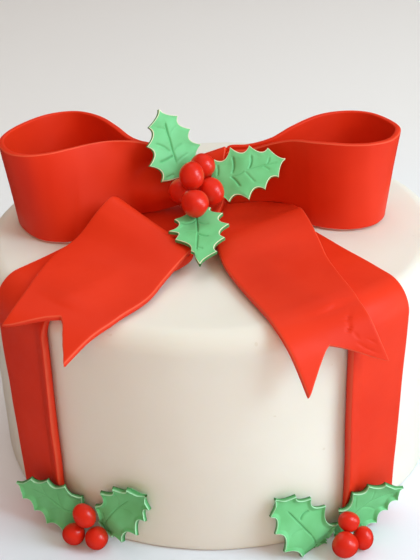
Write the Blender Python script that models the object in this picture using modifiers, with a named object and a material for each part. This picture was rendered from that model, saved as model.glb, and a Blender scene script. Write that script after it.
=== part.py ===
"""Christmas cake: a round fondant cake with a red ribbon, a large bow and holly sprigs.

The cake is a turned solid. Two red ribbons cross over it and run down its side. The bow
stands where they cross: two loops, a centre strap and two tails cut with a V. Holly leaves
and berries sit on the bow, and a sprig of two leaves and three berries lies at each foot
of the ribbons. Sizes are in millimetres until a mesh is made, and the mesh is in metres.
The origin is the middle of the cake's underside, -Y is the front and +Z is up.
"""

import bmesh
import bpy
import numpy as np

MM = 0.001
GAP = 0.3

# Cake
CAKE_RADIUS = 100.0
CAKE_HEIGHT = 100.5
SHOULDER_RADIUS = 9.0
FLAT_RADIUS = CAKE_RADIUS - SHOULDER_RADIUS
SIDE_HEIGHT = CAKE_HEIGHT - SHOULDER_RADIUS
FOOT_ROUNDING = 1.5
CAKE_STEPS = 72
SHOULDER_STEPS = 6

# Ribbons over the cake: heading in degrees from the front, plus to the right, and how far
# their two edges lie to the right of the cake's middle, on its top and at its foot
BAND_THICKNESS = 3.0
BAND_COLUMNS = 5
BAND_MARGIN = 2.0
BAND_RAMP = 5.0
BAND_RIGHT = {"heading": 32.2, "top": (-6.5, 25.3), "foot": (-6.5, 19.6)}
BAND_LEFT = {"heading": -42.0, "top": (-28.0, 5.6), "foot": (-23.0, 4.6)}

# Bow
BOW_THICKNESS = 2.4
BOW_CLEAR = 1.5 * GAP
LOOP_COLUMNS = 42
LOOP_ROWS = 5
TAIL_COLUMNS = 8
TAIL_ROWS_PER_SPAN = 3
STRAP_ROWS_PER_SPAN = 3
STRAP_COLUMNS = 4

# Holly: the spines are shares of the leaf's length, along its midrib and out from it
LEAF_LENGTH = 36.0
LEAF_THICKNESS = 1.4
LEAF_SPINES = ((0.05, 0.16), (0.20, 0.31), (0.43, 0.38), (0.65, 0.32), (0.85, 0.215))
LEAF_SCALLOPS = (0.03, 0.07, 0.09, 0.09, 0.075, 0.045)
LEAF_STEM = 0.03
LEAF_POINT = 0.012
LEAF_SWEEP = 0.05
STEPS_PER_SPINE = 3
BERRY_SEGMENTS = 12
BERRY_RINGS = 7
ARC_RADIUS = 105.0
LEAF_FOOT_CLEAR = 0.5
LEAN_HEIGHT = 26.0

# Colours, linear RGB, with roughness
FINISHES = {
    "ivory_fondant": ((0.83, 0.78, 0.67, 1.0), 0.55),
    "red_fondant": ((0.72, 0.045, 0.012, 1.0), 0.45),
    "berry_fondant": ((0.70, 0.025, 0.008, 1.0), 0.25),
    "holly_fondant": ((0.17, 0.62, 0.27, 1.0), 0.5),
}


def clear_scene():
    """Remove every object of the open file."""
    for thing in list(bpy.data.objects):
        bpy.data.objects.remove(thing, do_unlink=True)


def finish(name):
    """Return the material of that name, made on its first use."""
    found = bpy.data.materials.get(name)
    if found:
        return found
    colour, roughness = FINISHES[name]
    material = bpy.data.materials.new(name)
    material.use_nodes = True
    shader = material.node_tree.nodes["Principled BSDF"]
    shader.inputs["Base Color"].default_value = colour
    shader.inputs["Roughness"].default_value = roughness
    shader.inputs["Metallic"].default_value = 0.0
    return material


def new_object(name, mesh, material, group):
    """Make an object of a mesh, with its material, in the cake's collection."""
    mesh.materials.append(finish(material))
    thing = bpy.data.objects.new(name, mesh)
    group.objects.link(thing)
    return thing


def heading(degrees):
    """Unit vector in plan, from the front for 0 degrees, turning to the right."""
    angle = np.radians(degrees)
    return np.array([np.sin(angle), -np.cos(angle)])


def sideways(degrees):
    """Unit vector in plan, square to the heading, on its outer right."""
    angle = np.radians(degrees)
    return np.array([np.cos(angle), np.sin(angle)])


def smooth_step(value):
    """Ease from 0 to 1 while the value goes from 0 to 1."""
    held = np.clip(value, 0.0, 1.0)
    return held * held * (3.0 - 2.0 * held)


def through(points, at):
    """Catmull-Rom curve through the points, read at places counted in points."""
    knots = np.asarray(points, float)
    at = np.atleast_1d(np.asarray(at, float))
    first = np.clip(np.floor(at).astype(int), 0, len(knots) - 2)
    t = (at - first)[:, None]
    before = knots[np.maximum(first - 1, 0)]
    start = knots[first]
    end = knots[first + 1]
    after = knots[np.minimum(first + 2, len(knots) - 1)]
    cubic = 3.0 * start - before - 3.0 * end + after
    square = 2.0 * before - 5.0 * start + 4.0 * end - after
    return 0.5 * (2.0 * start + (end - before) * t + square * t**2 + cubic * t**3)


def band_cover(x, y):
    """1 over a ribbon that lies on the cake, 0 away from it, easing between the two."""
    cover = 0.0
    for band in (BAND_RIGHT, BAND_LEFT):
        across = sideways(band["heading"])
        left, right = band["top"]
        away = np.abs(across[0] * x + across[1] * y - (left + right) / 2)
        reach = (right - left) / 2 + BAND_MARGIN + BAND_RAMP - away
        cover = np.maximum(cover, smooth_step(reach / BAND_RAMP))
    return cover


def height_over(x, y, clear):
    """Height that keeps clear of the icing, and of a ribbon on it, at a place in plan."""
    outwards = np.clip(np.hypot(x, y) - FLAT_RADIUS, 0.0, SHOULDER_RADIUS)
    around = SHOULDER_RADIUS + clear + (BAND_THICKNESS + GAP) * band_cover(x, y)
    return SIDE_HEIGHT + np.sqrt(around**2 - outwards**2)


def sheet(name, places, thickness, side, material, group, even=True):
    """Make a sheet from a grid of places, given a wall on one side or on both.

    The places are rows by columns by 3. Side is 1 to thicken outwards, 0 on both sides.
    An even wall keeps its thickness at folds, and is left off for a spined outline.
    """
    rows, columns, _ = places.shape
    work = bmesh.new()
    bmesh.ops.create_grid(work, x_segments=columns - 1, y_segments=rows - 1, size=1.0)
    for corner, place in zip(work.verts, places.reshape(-1, 3) * MM):
        corner.co = place
    mesh = bpy.data.meshes.new(name)
    work.to_mesh(mesh)
    work.free()
    mesh.shade_smooth()
    thing = new_object(name, mesh, material, group)
    split = thing.modifiers.new("Split alike", "TRIANGULATE")
    split.quad_method = "FIXED"
    wall = thing.modifiers.new("Wall", "SOLIDIFY")
    wall.thickness = thickness * MM
    wall.offset = side
    wall.use_even_offset = even
    return thing


def make_cake(group):
    """Turn the cake's outline, top to bottom, round the upright axis."""
    outline = [(0.0, CAKE_HEIGHT)]
    for step in range(SHOULDER_STEPS + 1):
        angle = np.pi / 2 * step / SHOULDER_STEPS
        radius = FLAT_RADIUS + SHOULDER_RADIUS * np.sin(angle)
        outline.append((radius, SIDE_HEIGHT + SHOULDER_RADIUS * np.cos(angle)))
    outline.append((CAKE_RADIUS, FOOT_ROUNDING))
    outline.append((CAKE_RADIUS - FOOT_ROUNDING, 0.0))
    outline.append((0.0, 0.0))
    mesh = bpy.data.meshes.new("cake")
    corners = [(x * MM, 0.0, z * MM) for x, z in outline]
    edges = [(index, index + 1) for index in range(len(outline) - 1)]
    mesh.from_pydata(corners, edges, [])
    cake = new_object("cake", mesh, "ivory_fondant", group)
    turn = cake.modifiers.new("Turn", "SCREW")
    turn.steps = CAKE_STEPS
    turn.render_steps = CAKE_STEPS
    turn.use_merge_vertices = True
    turn.merge_threshold = 0.00001
    turn.use_smooth_shade = True
    return cake


def band_edges(band, height):
    """Places of a ribbon's two edges, to the right of the middle, at a height."""
    drop = np.clip(1.0 - height / SIDE_HEIGHT, 0.0, 1.0)
    return np.array(band["top"]) * (1.0 - drop) + np.array(band["foot"]) * drop


def band_half(band, share):
    """Half of a ribbon's lengthwise line, from the cake's foot up to its flat top.

    Share is 0 on the ribbon's left edge and 1 on its right edge. Each place is given
    as the distance to the right, the distance along the heading, and the height.
    """
    outline = [(CAKE_RADIUS + GAP, GAP), (CAKE_RADIUS + GAP, CAKE_HEIGHT / 2)]
    for step in range(SHOULDER_STEPS + 1):
        angle = np.pi / 2 * (1.0 - step / SHOULDER_STEPS)
        radius = FLAT_RADIUS + (SHOULDER_RADIUS + GAP) * np.sin(angle)
        outline.append((radius, SIDE_HEIGHT + (SHOULDER_RADIUS + GAP) * np.cos(angle)))
    places = []
    for radius, height in outline:
        left, right = band_edges(band, height)
        offset = left + (right - left) * share
        places.append((offset, np.sqrt(radius**2 - offset**2), height))
    return places


def make_band(name, band, group, ends):
    """Lay a ribbon over the cake. Ends names the halves: front, back or both."""
    ahead = heading(band["heading"])
    across = sideways(band["heading"])
    columns = []
    for share in np.linspace(0.0, 1.0, BAND_COLUMNS + 1):
        half = band_half(band, share)
        turned = [(offset, -along, height) for offset, along, height in half]
        if ends == "both":
            path = half + turned[::-1]
        else:
            path = half if ends == "front" else turned
            offset, _, height = path[-1]
            path = path + [(offset, band_meets(band, offset, ends), height)]
        path = np.array(path)
        places = np.zeros((len(path), 3))
        places[:, :2] = across * path[:, :1] + ahead * path[:, 1:2]
        places[:, 2] = path[:, 2]
        columns.append(places)
    grid = np.stack(columns, axis=1)
    if ends == "back":
        grid = grid[:, ::-1]
    return sheet(name, grid, BAND_THICKNESS, 1.0, "red_fondant", group)


def band_meets(band, offset, ends):
    """Distance along the left ribbon at which it butts against the right one's edge."""
    ahead = heading(band["heading"])
    start = sideways(band["heading"]) * offset
    across = sideways(BAND_RIGHT["heading"])
    left, right = BAND_RIGHT["top"]
    edge = left - GAP if ends == "front" else right + GAP
    return (edge - start @ across) / (ahead @ across)


# Each loop from its front inner end, round its outer end, to its back inner end:
# the ribbon's foot and its rim
LOOP_RIGHT = (
    ((0.8, 6.8, 108.5), (0.8, 6.8, 122.8)),
    ((5.5, 6.8, 108.5), (5.5, 6.8, 123.0)),
    ((9.5, 6.5, 108.6), (9.8, 6.4, 129.0)),
    ((17.3, 5.8, 108.4), (17.0, 5.2, 131.2)),
    ((28.0, 2.4, 107.0), (27.0, 1.7, 134.8)),
    ((36.0, -3.4, 106.0), (35.0, -3.2, 137.6)),
    ((44.2, -10.8, 102.6), (43.0, -10.2, 139.4)),
    ((51.0, -14.3, 101.0), (50.0, -14.0, 140.0)),
    ((59.0, -15.5, 101.0), (58.0, -16.3, 140.0)),
    ((67.2, -13.1, 101.0), (66.5, -16.2, 140.0)),
    ((72.6, -6.8, 101.0), (75.0, -11.6, 140.0)),
    ((74.7, 2.8, 101.0), (79.7, -0.5, 140.0)),
    ((73.0, 12.5, 101.0), (77.6, 9.6, 140.0)),
    ((66.5, 19.5, 101.0), (70.7, 20.0, 140.0)),
    ((57.5, 21.5, 101.0), (60.5, 23.2, 140.0)),
    ((46.5, 18.0, 101.3), (48.5, 20.5, 139.6)),
    ((36.0, 13.8, 103.0), (37.0, 14.6, 137.4)),
    ((26.5, 11.0, 106.0), (27.0, 10.2, 133.6)),
    ((17.0, 9.8, 108.0), (17.0, 9.6, 131.0)),
    ((9.5, 9.5, 108.6), (9.8, 9.5, 130.2)),
    ((5.5, 9.7, 108.5), (5.5, 9.7, 123.0)),
    ((0.8, 9.7, 108.5), (0.8, 9.7, 122.8)),
)
LOOP_LEFT = (
    ((-0.8, 6.8, 107.8), (-0.8, 6.8, 122.8)),
    ((-5.5, 6.8, 107.6), (-5.5, 6.8, 123.0)),
    ((-10.0, 6.5, 107.0), (-10.0, 6.3, 128.8)),
    ((-15.5, 6.0, 105.8), (-16.0, 5.2, 131.6)),
    ((-23.0, 4.2, 104.5), (-23.5, 3.0, 135.4)),
    ((-32.0, 1.4, 104.6), (-31.0, 1.0, 138.4)),
    ((-42.5, -5.2, 104.4), (-41.5, 0.4, 139.2)),
    ((-51.5, -11.2, 101.3), (-50.5, -3.6, 139.6)),
    ((-59.5, -15.2, 101.0), (-59.0, -9.6, 140.0)),
    ((-67.0, -15.2, 101.0), (-67.0, -13.6, 140.0)),
    ((-74.0, -12.2, 101.0), (-75.5, -14.4, 140.0)),
    ((-80.5, -4.5, 101.0), (-83.0, -10.0, 140.0)),
    ((-84.4, 6.0, 101.0), (-88.0, 1.0, 140.0)),
    ((-83.2, 17.0, 101.0), (-87.0, 12.5, 140.0)),
    ((-76.5, 26.5, 101.0), (-80.5, 24.5, 140.0)),
    ((-66.0, 31.5, 101.0), (-71.5, 33.8, 140.0)),
    ((-55.0, 29.5, 101.0), (-60.0, 36.4, 140.0)),
    ((-45.0, 22.0, 101.2), (-49.5, 29.4, 139.9)),
    ((-35.5, 13.8, 102.5), (-41.0, 19.0, 138.6)),
    ((-27.0, 11.0, 105.0), (-34.0, 12.2, 135.6)),
    ((-18.5, 9.9, 107.0), (-24.0, 10.2, 132.6)),
    ((-10.5, 9.5, 108.0), (-13.0, 9.6, 129.8)),
    ((-6.5, 9.7, 108.3), (-8.4, 9.7, 125.6)),
    ((-0.8, 9.7, 108.5), (-0.8, 9.7, 122.8)),
)
# Dents pressed in the left loop's front wall: distance left, height, depth and reach
LOOP_LEFT_DENTS = ((-24.0, 111.0, -2.6, 7.5), (-27.0, 124.0, 2.0, 7.0))


def make_loop(name, plan, dents, group):
    """Stand a ribbon on edge along the loop's plan, pinched to the gather in the middle."""
    places = np.linspace(0.0, len(plan) - 1, LOOP_COLUMNS + 1)
    foot = through([low for low, _ in plan], places)
    rim = through([high for _, high in plan], places)
    ground = height_over(foot[:, 0], foot[:, 1], BOW_CLEAR)
    foot[:, 2] = np.maximum(foot[:, 2], ground)
    shares = np.linspace(0.0, 1.0, LOOP_ROWS + 1)[:, None, None]
    grid = foot + (rim - foot) * shares
    front = (np.arange(len(places)) < len(places) / 2)[None, :]
    for x, z, depth, reach in dents:
        near = np.exp(-((grid[..., 0] - x) ** 2 + (grid[..., 2] - z) ** 2) / reach**2)
        grid[..., 1] += depth * near * front
    return sheet(name, grid, BOW_THICKNESS, 0.0, "red_fondant", group)


# Long edges of each tail, from its inner end to its tip
TAIL_LEFT_NEAR = (
    (-19.5, -54.5, 102.2),
    (-13.4, -48.0, 102.2),
    (-9.0, -43.0, 103.8),
    (-8.8, -44.4, 107.2),
    (-13.2, -50.8, 106.2),
    (-19.8, -61.2, 103.6),
    (-26.0, -74.0, 102.6),
    (-36.0, -86.4, 102.4),
    (-45.3, -97.2, 100.4),
    (-54.6, -106.6, 95.2),
)
TAIL_LEFT_FAR = (
    (-46.0, -29.0, 106.4),
    (-41.0, -20.0, 106.4),
    (-36.5, -11.8, 111.0),
    (-40.8, -18.0, 120.4),
    (-46.0, -25.5, 118.8),
    (-53.0, -38.0, 113.8),
    (-62.0, -54.0, 108.6),
    (-71.0, -71.5, 105.9),
    (-75.8, -79.4, 103.6),
    (-79.4, -85.0, 100.0),
)
TAIL_RIGHT_NEAR = (
    (-0.6, -18.5, 104.0),
    (0.2, -27.0, 104.1),
    (1.4, -35.5, 105.2),
    (2.4, -44.0, 104.8),
    (4.4, -53.0, 103.8),
    (8.1, -63.5, 102.9),
    (12.2, -74.0, 102.4),
    (17.0, -86.0, 102.2),
    (21.4, -97.0, 101.2),
    (26.2, -105.3, 95.0),
    (32.0, -110.6, 80.4),
)
TAIL_RIGHT_FAR = (
    (35.5, -5.8, 105.5),
    (37.0, -12.5, 109.0),
    (38.0, -19.5, 112.3),
    (40.4, -29.5, 111.2),
    (43.2, -41.0, 107.8),
    (45.0, -52.0, 105.8),
    (47.6, -64.0, 105.6),
    (51.0, -77.0, 105.4),
    (56.0, -89.5, 101.8),
    (59.8, -94.0, 93.8),
    (63.4, -93.4, 84.4),
)
NOTCH_LEFT = {"depth": 1.55, "at": 0.5, "curve": 0.92}
NOTCH_RIGHT = {"depth": 1.12, "at": 0.43, "curve": 0.78}


def make_tail(name, near, far, notch, group):
    """Loft a tail between its two long edges, and cut its end to a V.

    The notch's depth is counted in points of the edges, and it lies at its share of the
    width. A curve below 1 hollows the two cuts that meet in it.
    """
    last = len(near) - 1
    steady = last - 3
    rows = np.linspace(0.0, last, TAIL_ROWS_PER_SPAN * last + 1)
    half = TAIL_COLUMNS // 2
    notch_at = notch["at"]
    shares = np.concatenate(
        [
            np.linspace(0.0, notch_at, half + 1),
            np.linspace(notch_at, 1.0, half + 1)[1:],
        ]
    )
    columns = []
    for share in shares:
        reach = share / notch_at if share <= notch_at else (1.0 - share) / (1.0 - notch_at)
        end = last - notch["depth"] * reach ** notch["curve"]
        along = np.where(
            rows <= steady,
            rows,
            steady + (rows - steady) * (end - steady) / (last - steady),
        )
        one_edge = through(near, along)
        other_edge = through(far, along)
        columns.append(one_edge + (other_edge - one_edge) * share)
    grid = np.stack(columns, axis=1)
    under = height_over(grid[..., 0], grid[..., 1], BOW_CLEAR + BOW_THICKNESS / 2)
    on_top = np.hypot(grid[..., 0], grid[..., 1]) < CAKE_RADIUS - BOW_THICKNESS
    grid[..., 2] = np.where(on_top, np.maximum(grid[..., 2], under), grid[..., 2])
    return sheet(name, grid, BOW_THICKNESS, 0.0, "red_fondant", group)


# Centre strap in the middle plane, from its back foot over the gather to its front end:
# distance back, height, middle in x and half width
STRAP_PATH = (
    (21.5, 105.8, 0.0, 6.6),
    (20.5, 113.5, 0.0, 6.6),
    (16.0, 122.5, 0.0, 6.2),
    (8.2, 127.9, 0.0, 5.8),
    (4.0, 124.0, -0.1, 6.0),
    (3.6, 118.0, -0.3, 6.4),
    (1.4, 112.8, -0.8, 7.0),
    (-6.0, 110.4, -2.2, 7.4),
    (-16.0, 109.4, -4.4, 7.0),
    (-25.0, 107.8, -6.0, 6.2),
    (-30.0, 105.4, -6.8, 5.4),
    (-31.5, 102.4, -7.0, 5.0),
)


def make_strap(group):
    """Wrap the bow's centre strap over the gather."""
    last = len(STRAP_PATH) - 1
    path = through(STRAP_PATH, np.linspace(0.0, last, STRAP_ROWS_PER_SPAN * last + 1))
    across = np.linspace(1.0, -1.0, STRAP_COLUMNS + 1)
    grid = np.empty((len(path), len(across), 3))
    grid[..., 0] = path[:, 2:3] + path[:, 3:4] * across
    grid[..., 1] = path[:, 0:1]
    grid[..., 2] = path[:, 1:2]
    return sheet("bow_centre", grid, BOW_THICKNESS, 0.0, "red_fondant", group)


def leaf_outline():
    """Flat leaf: distance along the midrib and out from it, station by station.

    The half width runs straight from spine to spine, less a scallop between them.
    """
    knots = [(0.0, LEAF_STEM), *LEAF_SPINES, (1.0, LEAF_POINT)]
    along = []
    width = []
    for scallop, (start, wide), (end, next_wide) in zip(LEAF_SCALLOPS, knots, knots[1:]):
        for step in range(STEPS_PER_SPINE):
            t = step / STEPS_PER_SPINE
            along.append(start + (end - start) * t)
            width.append(wide + (next_wide - wide) * t - 4.0 * scallop * t * (1.0 - t))
    along.append(1.0)
    width.append(LEAF_POINT)
    along = np.array(along)[:, None]
    width = np.array(width)[:, None]
    across = np.linspace(-1.0, 1.0, 5)[None, :]
    p = LEAF_LENGTH * (along + LEAF_SWEEP * across**2 * (1.0 - along))
    q = LEAF_LENGTH * width * across
    return p, q


def make_leaf(name, leaf, group):
    """Set a holly leaf on the bow, from its base to its tip.

    Right is a point on its right side and fixes how it faces. The bend lifts the middle
    of its length, the cup lifts its edges, and the hidden stations are left out.
    """
    base, tip, right = (np.array(leaf[key]) for key in ("base", "tip", "right"))
    length = np.linalg.norm(tip - base)
    ahead = (tip - base) / length
    side = right - base
    side -= ahead * (side @ ahead)
    side /= np.linalg.norm(side)
    face = np.cross(ahead, side)
    if face[1] > 0.0:
        face = -face
    p, q = leaf_outline()
    p = p[leaf["hidden"] :] * length / LEAF_LENGTH
    q = q[leaf["hidden"] :] * leaf["width"]
    lift = leaf["bend"] * np.sin(np.pi * p / length)
    lift = lift + leaf["cup"] * (2.0 * q / LEAF_LENGTH) ** 2
    grid = base + ahead * p[..., None] + side * q[..., None] + face * lift[..., None]
    return sheet(name, grid, LEAF_THICKNESS, 0.0, "holly_fondant", group, even=False)


def hug_radius(azimuth):
    """Radius at which a leaf's middle clears the icing, or the ribbon where there is one."""
    angle = np.radians(azimuth)
    cover = band_cover(CAKE_RADIUS * np.sin(angle), -CAKE_RADIUS * np.cos(angle))
    return CAKE_RADIUS + (BAND_THICKNESS + GAP) * cover + GAP + LEAF_THICKNESS / 2


def make_foot_leaf(name, leaf, turn, group):
    """Lay a holly leaf against the cake's foot.

    Azimuth and height place its base, tilt is its slope above level, and turn is 1 to
    run to the right or -1 to the left. The arch lifts its middle, the flare swings its
    tip out, the lean brings its low edge out, and the cup both edges. What would come
    below the board is laid flat on it.
    """
    p, q = leaf_outline()
    p = p[leaf["hidden"] :] * leaf["length"]
    q = q[leaf["hidden"] :] * leaf["width"]
    slope = np.radians(leaf["tilt"])
    share = p / LEAF_LENGTH
    arc = p * np.cos(slope) - q * np.sin(slope)
    up = leaf["height"] + p * np.sin(slope) + q * np.cos(slope)
    up = up + leaf["arch"] * 4.0 * share * (1.0 - share)
    under = np.maximum(LEAF_FOOT_CLEAR + LEAF_THICKNESS / 2 - up, 0.0)
    up = up + under
    angles = leaf["azimuth"] + turn * np.degrees(arc / ARC_RADIUS)
    radius = hug_radius(angles) + leaf["flare"] * share**3
    radius = radius + leaf["cup"] * (2.0 * q / LEAF_LENGTH) ** 2
    lean = leaf["lean"] * smooth_step(3.0 * share) * smooth_step(1.0 - up / LEAN_HEIGHT)
    radius = radius + lean + under
    grid = np.empty(p.shape + (3,))
    grid[..., 0] = radius * np.sin(np.radians(angles))
    grid[..., 1] = -radius * np.cos(np.radians(angles))
    grid[..., 2] = up
    if turn < 0:
        grid = grid[:, ::-1]
    return sheet(name, grid, LEAF_THICKNESS, 0.0, "holly_fondant", group, even=False)


def make_berry(name, centre, radius, group):
    """Make a berry, a ball a little taller than wide."""
    work = bmesh.new()
    bmesh.ops.create_uvsphere(
        work, u_segments=BERRY_SEGMENTS, v_segments=BERRY_RINGS, radius=radius * MM
    )
    mesh = bpy.data.meshes.new(name)
    work.to_mesh(mesh)
    work.free()
    mesh.shade_smooth()
    berry = new_object(name, mesh, "berry_fondant", group)
    berry.location = [value * MM for value in centre]
    return berry


BOW_LEAVES = (
    {
        "base": (-9.2, -7.7, 117.1),
        "tip": (-20.7, 2.5, 151.1),
        "right": (-5.8, 5.1, 135.0),
        "bend": -0.6,
        "cup": 0.4,
        "width": 1.04,
        "hidden": 6,
    },
    {
        "base": (-3.4, -10.7, 119.8),
        "tip": (31.6, -7.3, 130.7),
        "right": (10.7, -1.4, 133.9),
        "bend": 2.1,
        "cup": 2.1,
        "width": 0.9,
        "hidden": 5,
    },
    {
        "base": (-5.4, -22.3, 117.4),
        "tip": (-5.4, -56.0, 107.5),
        "right": (6.7, -37.3, 113.0),
        "bend": 1.0,
        "cup": 1.4,
        "width": 0.9,
        "hidden": 0,
    },
)
BOW_BERRIES = (
    ((-6.6, -31.6, 123.0), 5.8),
    ((0.1, -18.2, 122.3), 5.6),
    ((-7.2, -20.3, 130.3), 5.6),
    ((-4.6, -9.2, 129.3), 5.4),
    ((-12.4, -15.5, 121.4), 5.5),
)

# Sprigs at the ribbons' feet. The two at the front are set one by one, and each one at
# the back is the front one across from it, turned about half round the cake.
SPRIG_LEFT_RIBBON_LEAF = {
    "azimuth": -31.4,
    "height": 4.2,
    "tilt": 21.6,
    "flare": 9.0,
    "lean": 3.8,
    "cup": 0.5,
    "arch": 2.2,
    "width": 0.87,
    "length": 0.92,
    "hidden": 0,
}
SPRIG_LEFT_ICING_LEAF = {
    "azimuth": -28.6,
    "height": 3.6,
    "tilt": 48.5,
    "flare": 3.5,
    "lean": 5.7,
    "cup": 5.0,
    "arch": 4.3,
    "width": 0.84,
    "length": 0.92,
    "hidden": 0,
}
SPRIG_RIGHT_RIBBON_LEAF = {
    "azimuth": 25.6,
    "height": -1.0,
    "tilt": 31.0,
    "flare": 11.0,
    "lean": 1.0,
    "cup": 0.5,
    "arch": 5.3,
    "width": 0.88,
    "length": 0.9,
    "hidden": 0,
}
SPRIG_RIGHT_ICING_LEAF = {
    "azimuth": 23.0,
    "height": -4.0,
    "tilt": 56.0,
    "flare": 2.0,
    "lean": 7.8,
    "cup": 0.5,
    "arch": 1.2,
    "width": 0.87,
    "length": 1.06,
    "hidden": 0,
}
SPRIG_LEFT_BERRIES = (
    ((-55.7, -92.4, 15.1), 4.8),
    ((-61.0, -92.4, 5.6), 4.7),
    ((-51.3, -95.6, 5.7), 4.9),
)
SPRIG_RIGHT_BERRIES = (
    ((49.7, -98.2, 13.0), 4.3),
    ((47.7, -106.0, 6.9), 5.3),
    ((55.9, -100.3, 5.1), 4.5),
)


BACK_SWING_OF_LEFT = 190.3
BACK_SWING_OF_RIGHT = 172.4


def swung(place, degrees):
    """Turn a place round the cake's upright axis, seen from above, to the left."""
    angle = np.radians(degrees)
    x, y, z = place
    return (
        x * np.cos(angle) - y * np.sin(angle),
        x * np.sin(angle) + y * np.cos(angle),
        z,
    )


def make_sprig(place, ribbon_leaf, icing_leaf, berries, turn, swing, group):
    """Lay a sprig: a leaf over the ribbon, a leaf on the bare icing and three berries."""
    name = "sprig_" + place
    ribbon_leaf = {**ribbon_leaf, "azimuth": ribbon_leaf["azimuth"] + swing}
    icing_leaf = {**icing_leaf, "azimuth": icing_leaf["azimuth"] + swing}
    make_foot_leaf(name + "_ribbon_leaf", ribbon_leaf, turn, group)
    make_foot_leaf(name + "_icing_leaf", icing_leaf, -turn, group)
    for index, (centre, radius) in enumerate(berries, start=1):
        make_berry(f"{name}_berry_{index}", swung(centre, swing), radius, group)


def main():
    """Build every piece of the cake in one collection."""
    clear_scene()
    group = bpy.data.collections.new("christmas_cake")
    bpy.context.scene.collection.children.link(group)
    make_cake(group)
    make_band("band_right", BAND_RIGHT, group, "both")
    make_band("band_left_front", BAND_LEFT, group, "front")
    make_band("band_left_back", BAND_LEFT, group, "back")
    make_loop("bow_loop_right", LOOP_RIGHT, (), group)
    make_loop("bow_loop_left", LOOP_LEFT, LOOP_LEFT_DENTS, group)
    make_tail("bow_tail_left", TAIL_LEFT_NEAR, TAIL_LEFT_FAR, NOTCH_LEFT, group)
    make_tail("bow_tail_right", TAIL_RIGHT_NEAR, TAIL_RIGHT_FAR, NOTCH_RIGHT, group)
    make_strap(group)
    for index, leaf in enumerate(BOW_LEAVES, start=1):
        make_leaf(f"bow_leaf_{index}", leaf, group)
    for index, (centre, radius) in enumerate(BOW_BERRIES, start=1):
        make_berry(f"bow_berry_{index}", centre, radius, group)
    left = (SPRIG_LEFT_RIBBON_LEAF, SPRIG_LEFT_ICING_LEAF, SPRIG_LEFT_BERRIES, -1.0)
    right = (SPRIG_RIGHT_RIBBON_LEAF, SPRIG_RIGHT_ICING_LEAF, SPRIG_RIGHT_BERRIES, 1.0)
    make_sprig("front_left", *left, 0.0, group)
    make_sprig("front_right", *right, 0.0, group)
    make_sprig("back_right", *left, BACK_SWING_OF_LEFT, group)
    make_sprig("back_left", *right, BACK_SWING_OF_RIGHT, group)


main()
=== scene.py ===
# %% [markdown]
# # A christmas cake with a standing bow
#
# The real object is a round cake under a skin of rolled icing. Everything on it is sugar
# paste: a soft paste that is rolled out, cut with a knife or a cutter, bent while it is soft
# and left to set. That decides how each piece is modelled here. A ribbon, a bow's loop or a
# holly leaf is one sheet with two faces and a rounded cut edge, so one way of making sheets
# serves them all, and only the cake and the berries are round bodies.
#
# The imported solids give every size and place. This script makes the fine surfaces that stand
# in for them, and their finishes. It works in millimetres, and meshes are made in metres.

import bmesh
import bpy
import numpy as np
from mathutils import Matrix, Vector


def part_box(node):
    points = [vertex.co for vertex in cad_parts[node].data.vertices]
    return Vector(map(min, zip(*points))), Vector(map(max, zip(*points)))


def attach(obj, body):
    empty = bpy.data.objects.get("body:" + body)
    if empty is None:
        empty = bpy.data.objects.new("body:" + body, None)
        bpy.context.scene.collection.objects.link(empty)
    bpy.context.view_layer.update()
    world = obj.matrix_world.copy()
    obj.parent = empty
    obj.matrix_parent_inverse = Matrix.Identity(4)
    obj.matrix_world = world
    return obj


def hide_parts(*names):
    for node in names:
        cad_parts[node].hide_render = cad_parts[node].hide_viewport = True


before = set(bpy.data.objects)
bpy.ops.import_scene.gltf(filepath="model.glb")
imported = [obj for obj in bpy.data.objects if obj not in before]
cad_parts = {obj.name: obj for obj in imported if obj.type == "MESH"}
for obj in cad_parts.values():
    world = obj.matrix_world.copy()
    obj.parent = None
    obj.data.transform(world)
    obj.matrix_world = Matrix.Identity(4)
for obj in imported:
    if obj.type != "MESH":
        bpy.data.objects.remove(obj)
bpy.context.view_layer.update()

MM = 0.001

# %% [markdown]
# ## Measures from the frame
#
# The cake's radius and height are read from its solid, so that nothing here can drift away
# from it. They could be typed in, but then a change of the cake would leave them behind. The
# shoulder's radius and the gap between pieces are the ones that the solids were made with.

# %% Driving measures
cake_low, cake_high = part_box("cake")
CAKE_RADIUS = cake_high.x / MM
CAKE_HEIGHT = cake_high.z / MM
SHOULDER_RADIUS = 9.0
FLAT_RADIUS = CAKE_RADIUS - SHOULDER_RADIUS
SIDE_HEIGHT = CAKE_HEIGHT - SHOULDER_RADIUS
GAP = 0.3
print(f"cake {2 * CAKE_RADIUS:.1f} mm across and {CAKE_HEIGHT:.1f} mm tall")

# %% [markdown]
# ## Smooth curves and soft starts
#
# A ribbon of paste bends freely, so its edges are smooth curves through a few listed points.
# Blender's curve objects could draw them, but here a curve is read at any place, as a whole
# array. A second helper eases from 0 to 1, for whatever fades in.


# %% Curve and ease
def through(points, at):
    """Smooth curve: a cubic from each point to the next, whose slope at a point is half
    the step between that point's two neighbours. `at` counts in points, in any array."""
    knots = np.asarray(points, float)
    first = np.clip(np.floor(at).astype(int), 0, len(knots) - 2)
    t = (at - first)[..., None]
    before = knots[np.maximum(first - 1, 0)]
    start = knots[first]
    end = knots[first + 1]
    after = knots[np.minimum(first + 2, len(knots) - 1)]
    cubic = 3.0 * start - before - 3.0 * end + after
    square = 2.0 * before - 5.0 * start + 4.0 * end - after
    return 0.5 * (2.0 * start + (end - before) * t + square * t**2 + cubic * t**3)


def ease(value):
    """Smooth step: 3 v squared less 2 v cubed, with v held between 0 and 1."""
    held = np.clip(value, 0.0, 1.0)
    return held * held * (3.0 - 2.0 * held)


print("curve test:", np.round(through([(0, 0, 0), (10, 0, 0), (20, 5, 0)], np.array([0.5])), 2))

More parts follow.
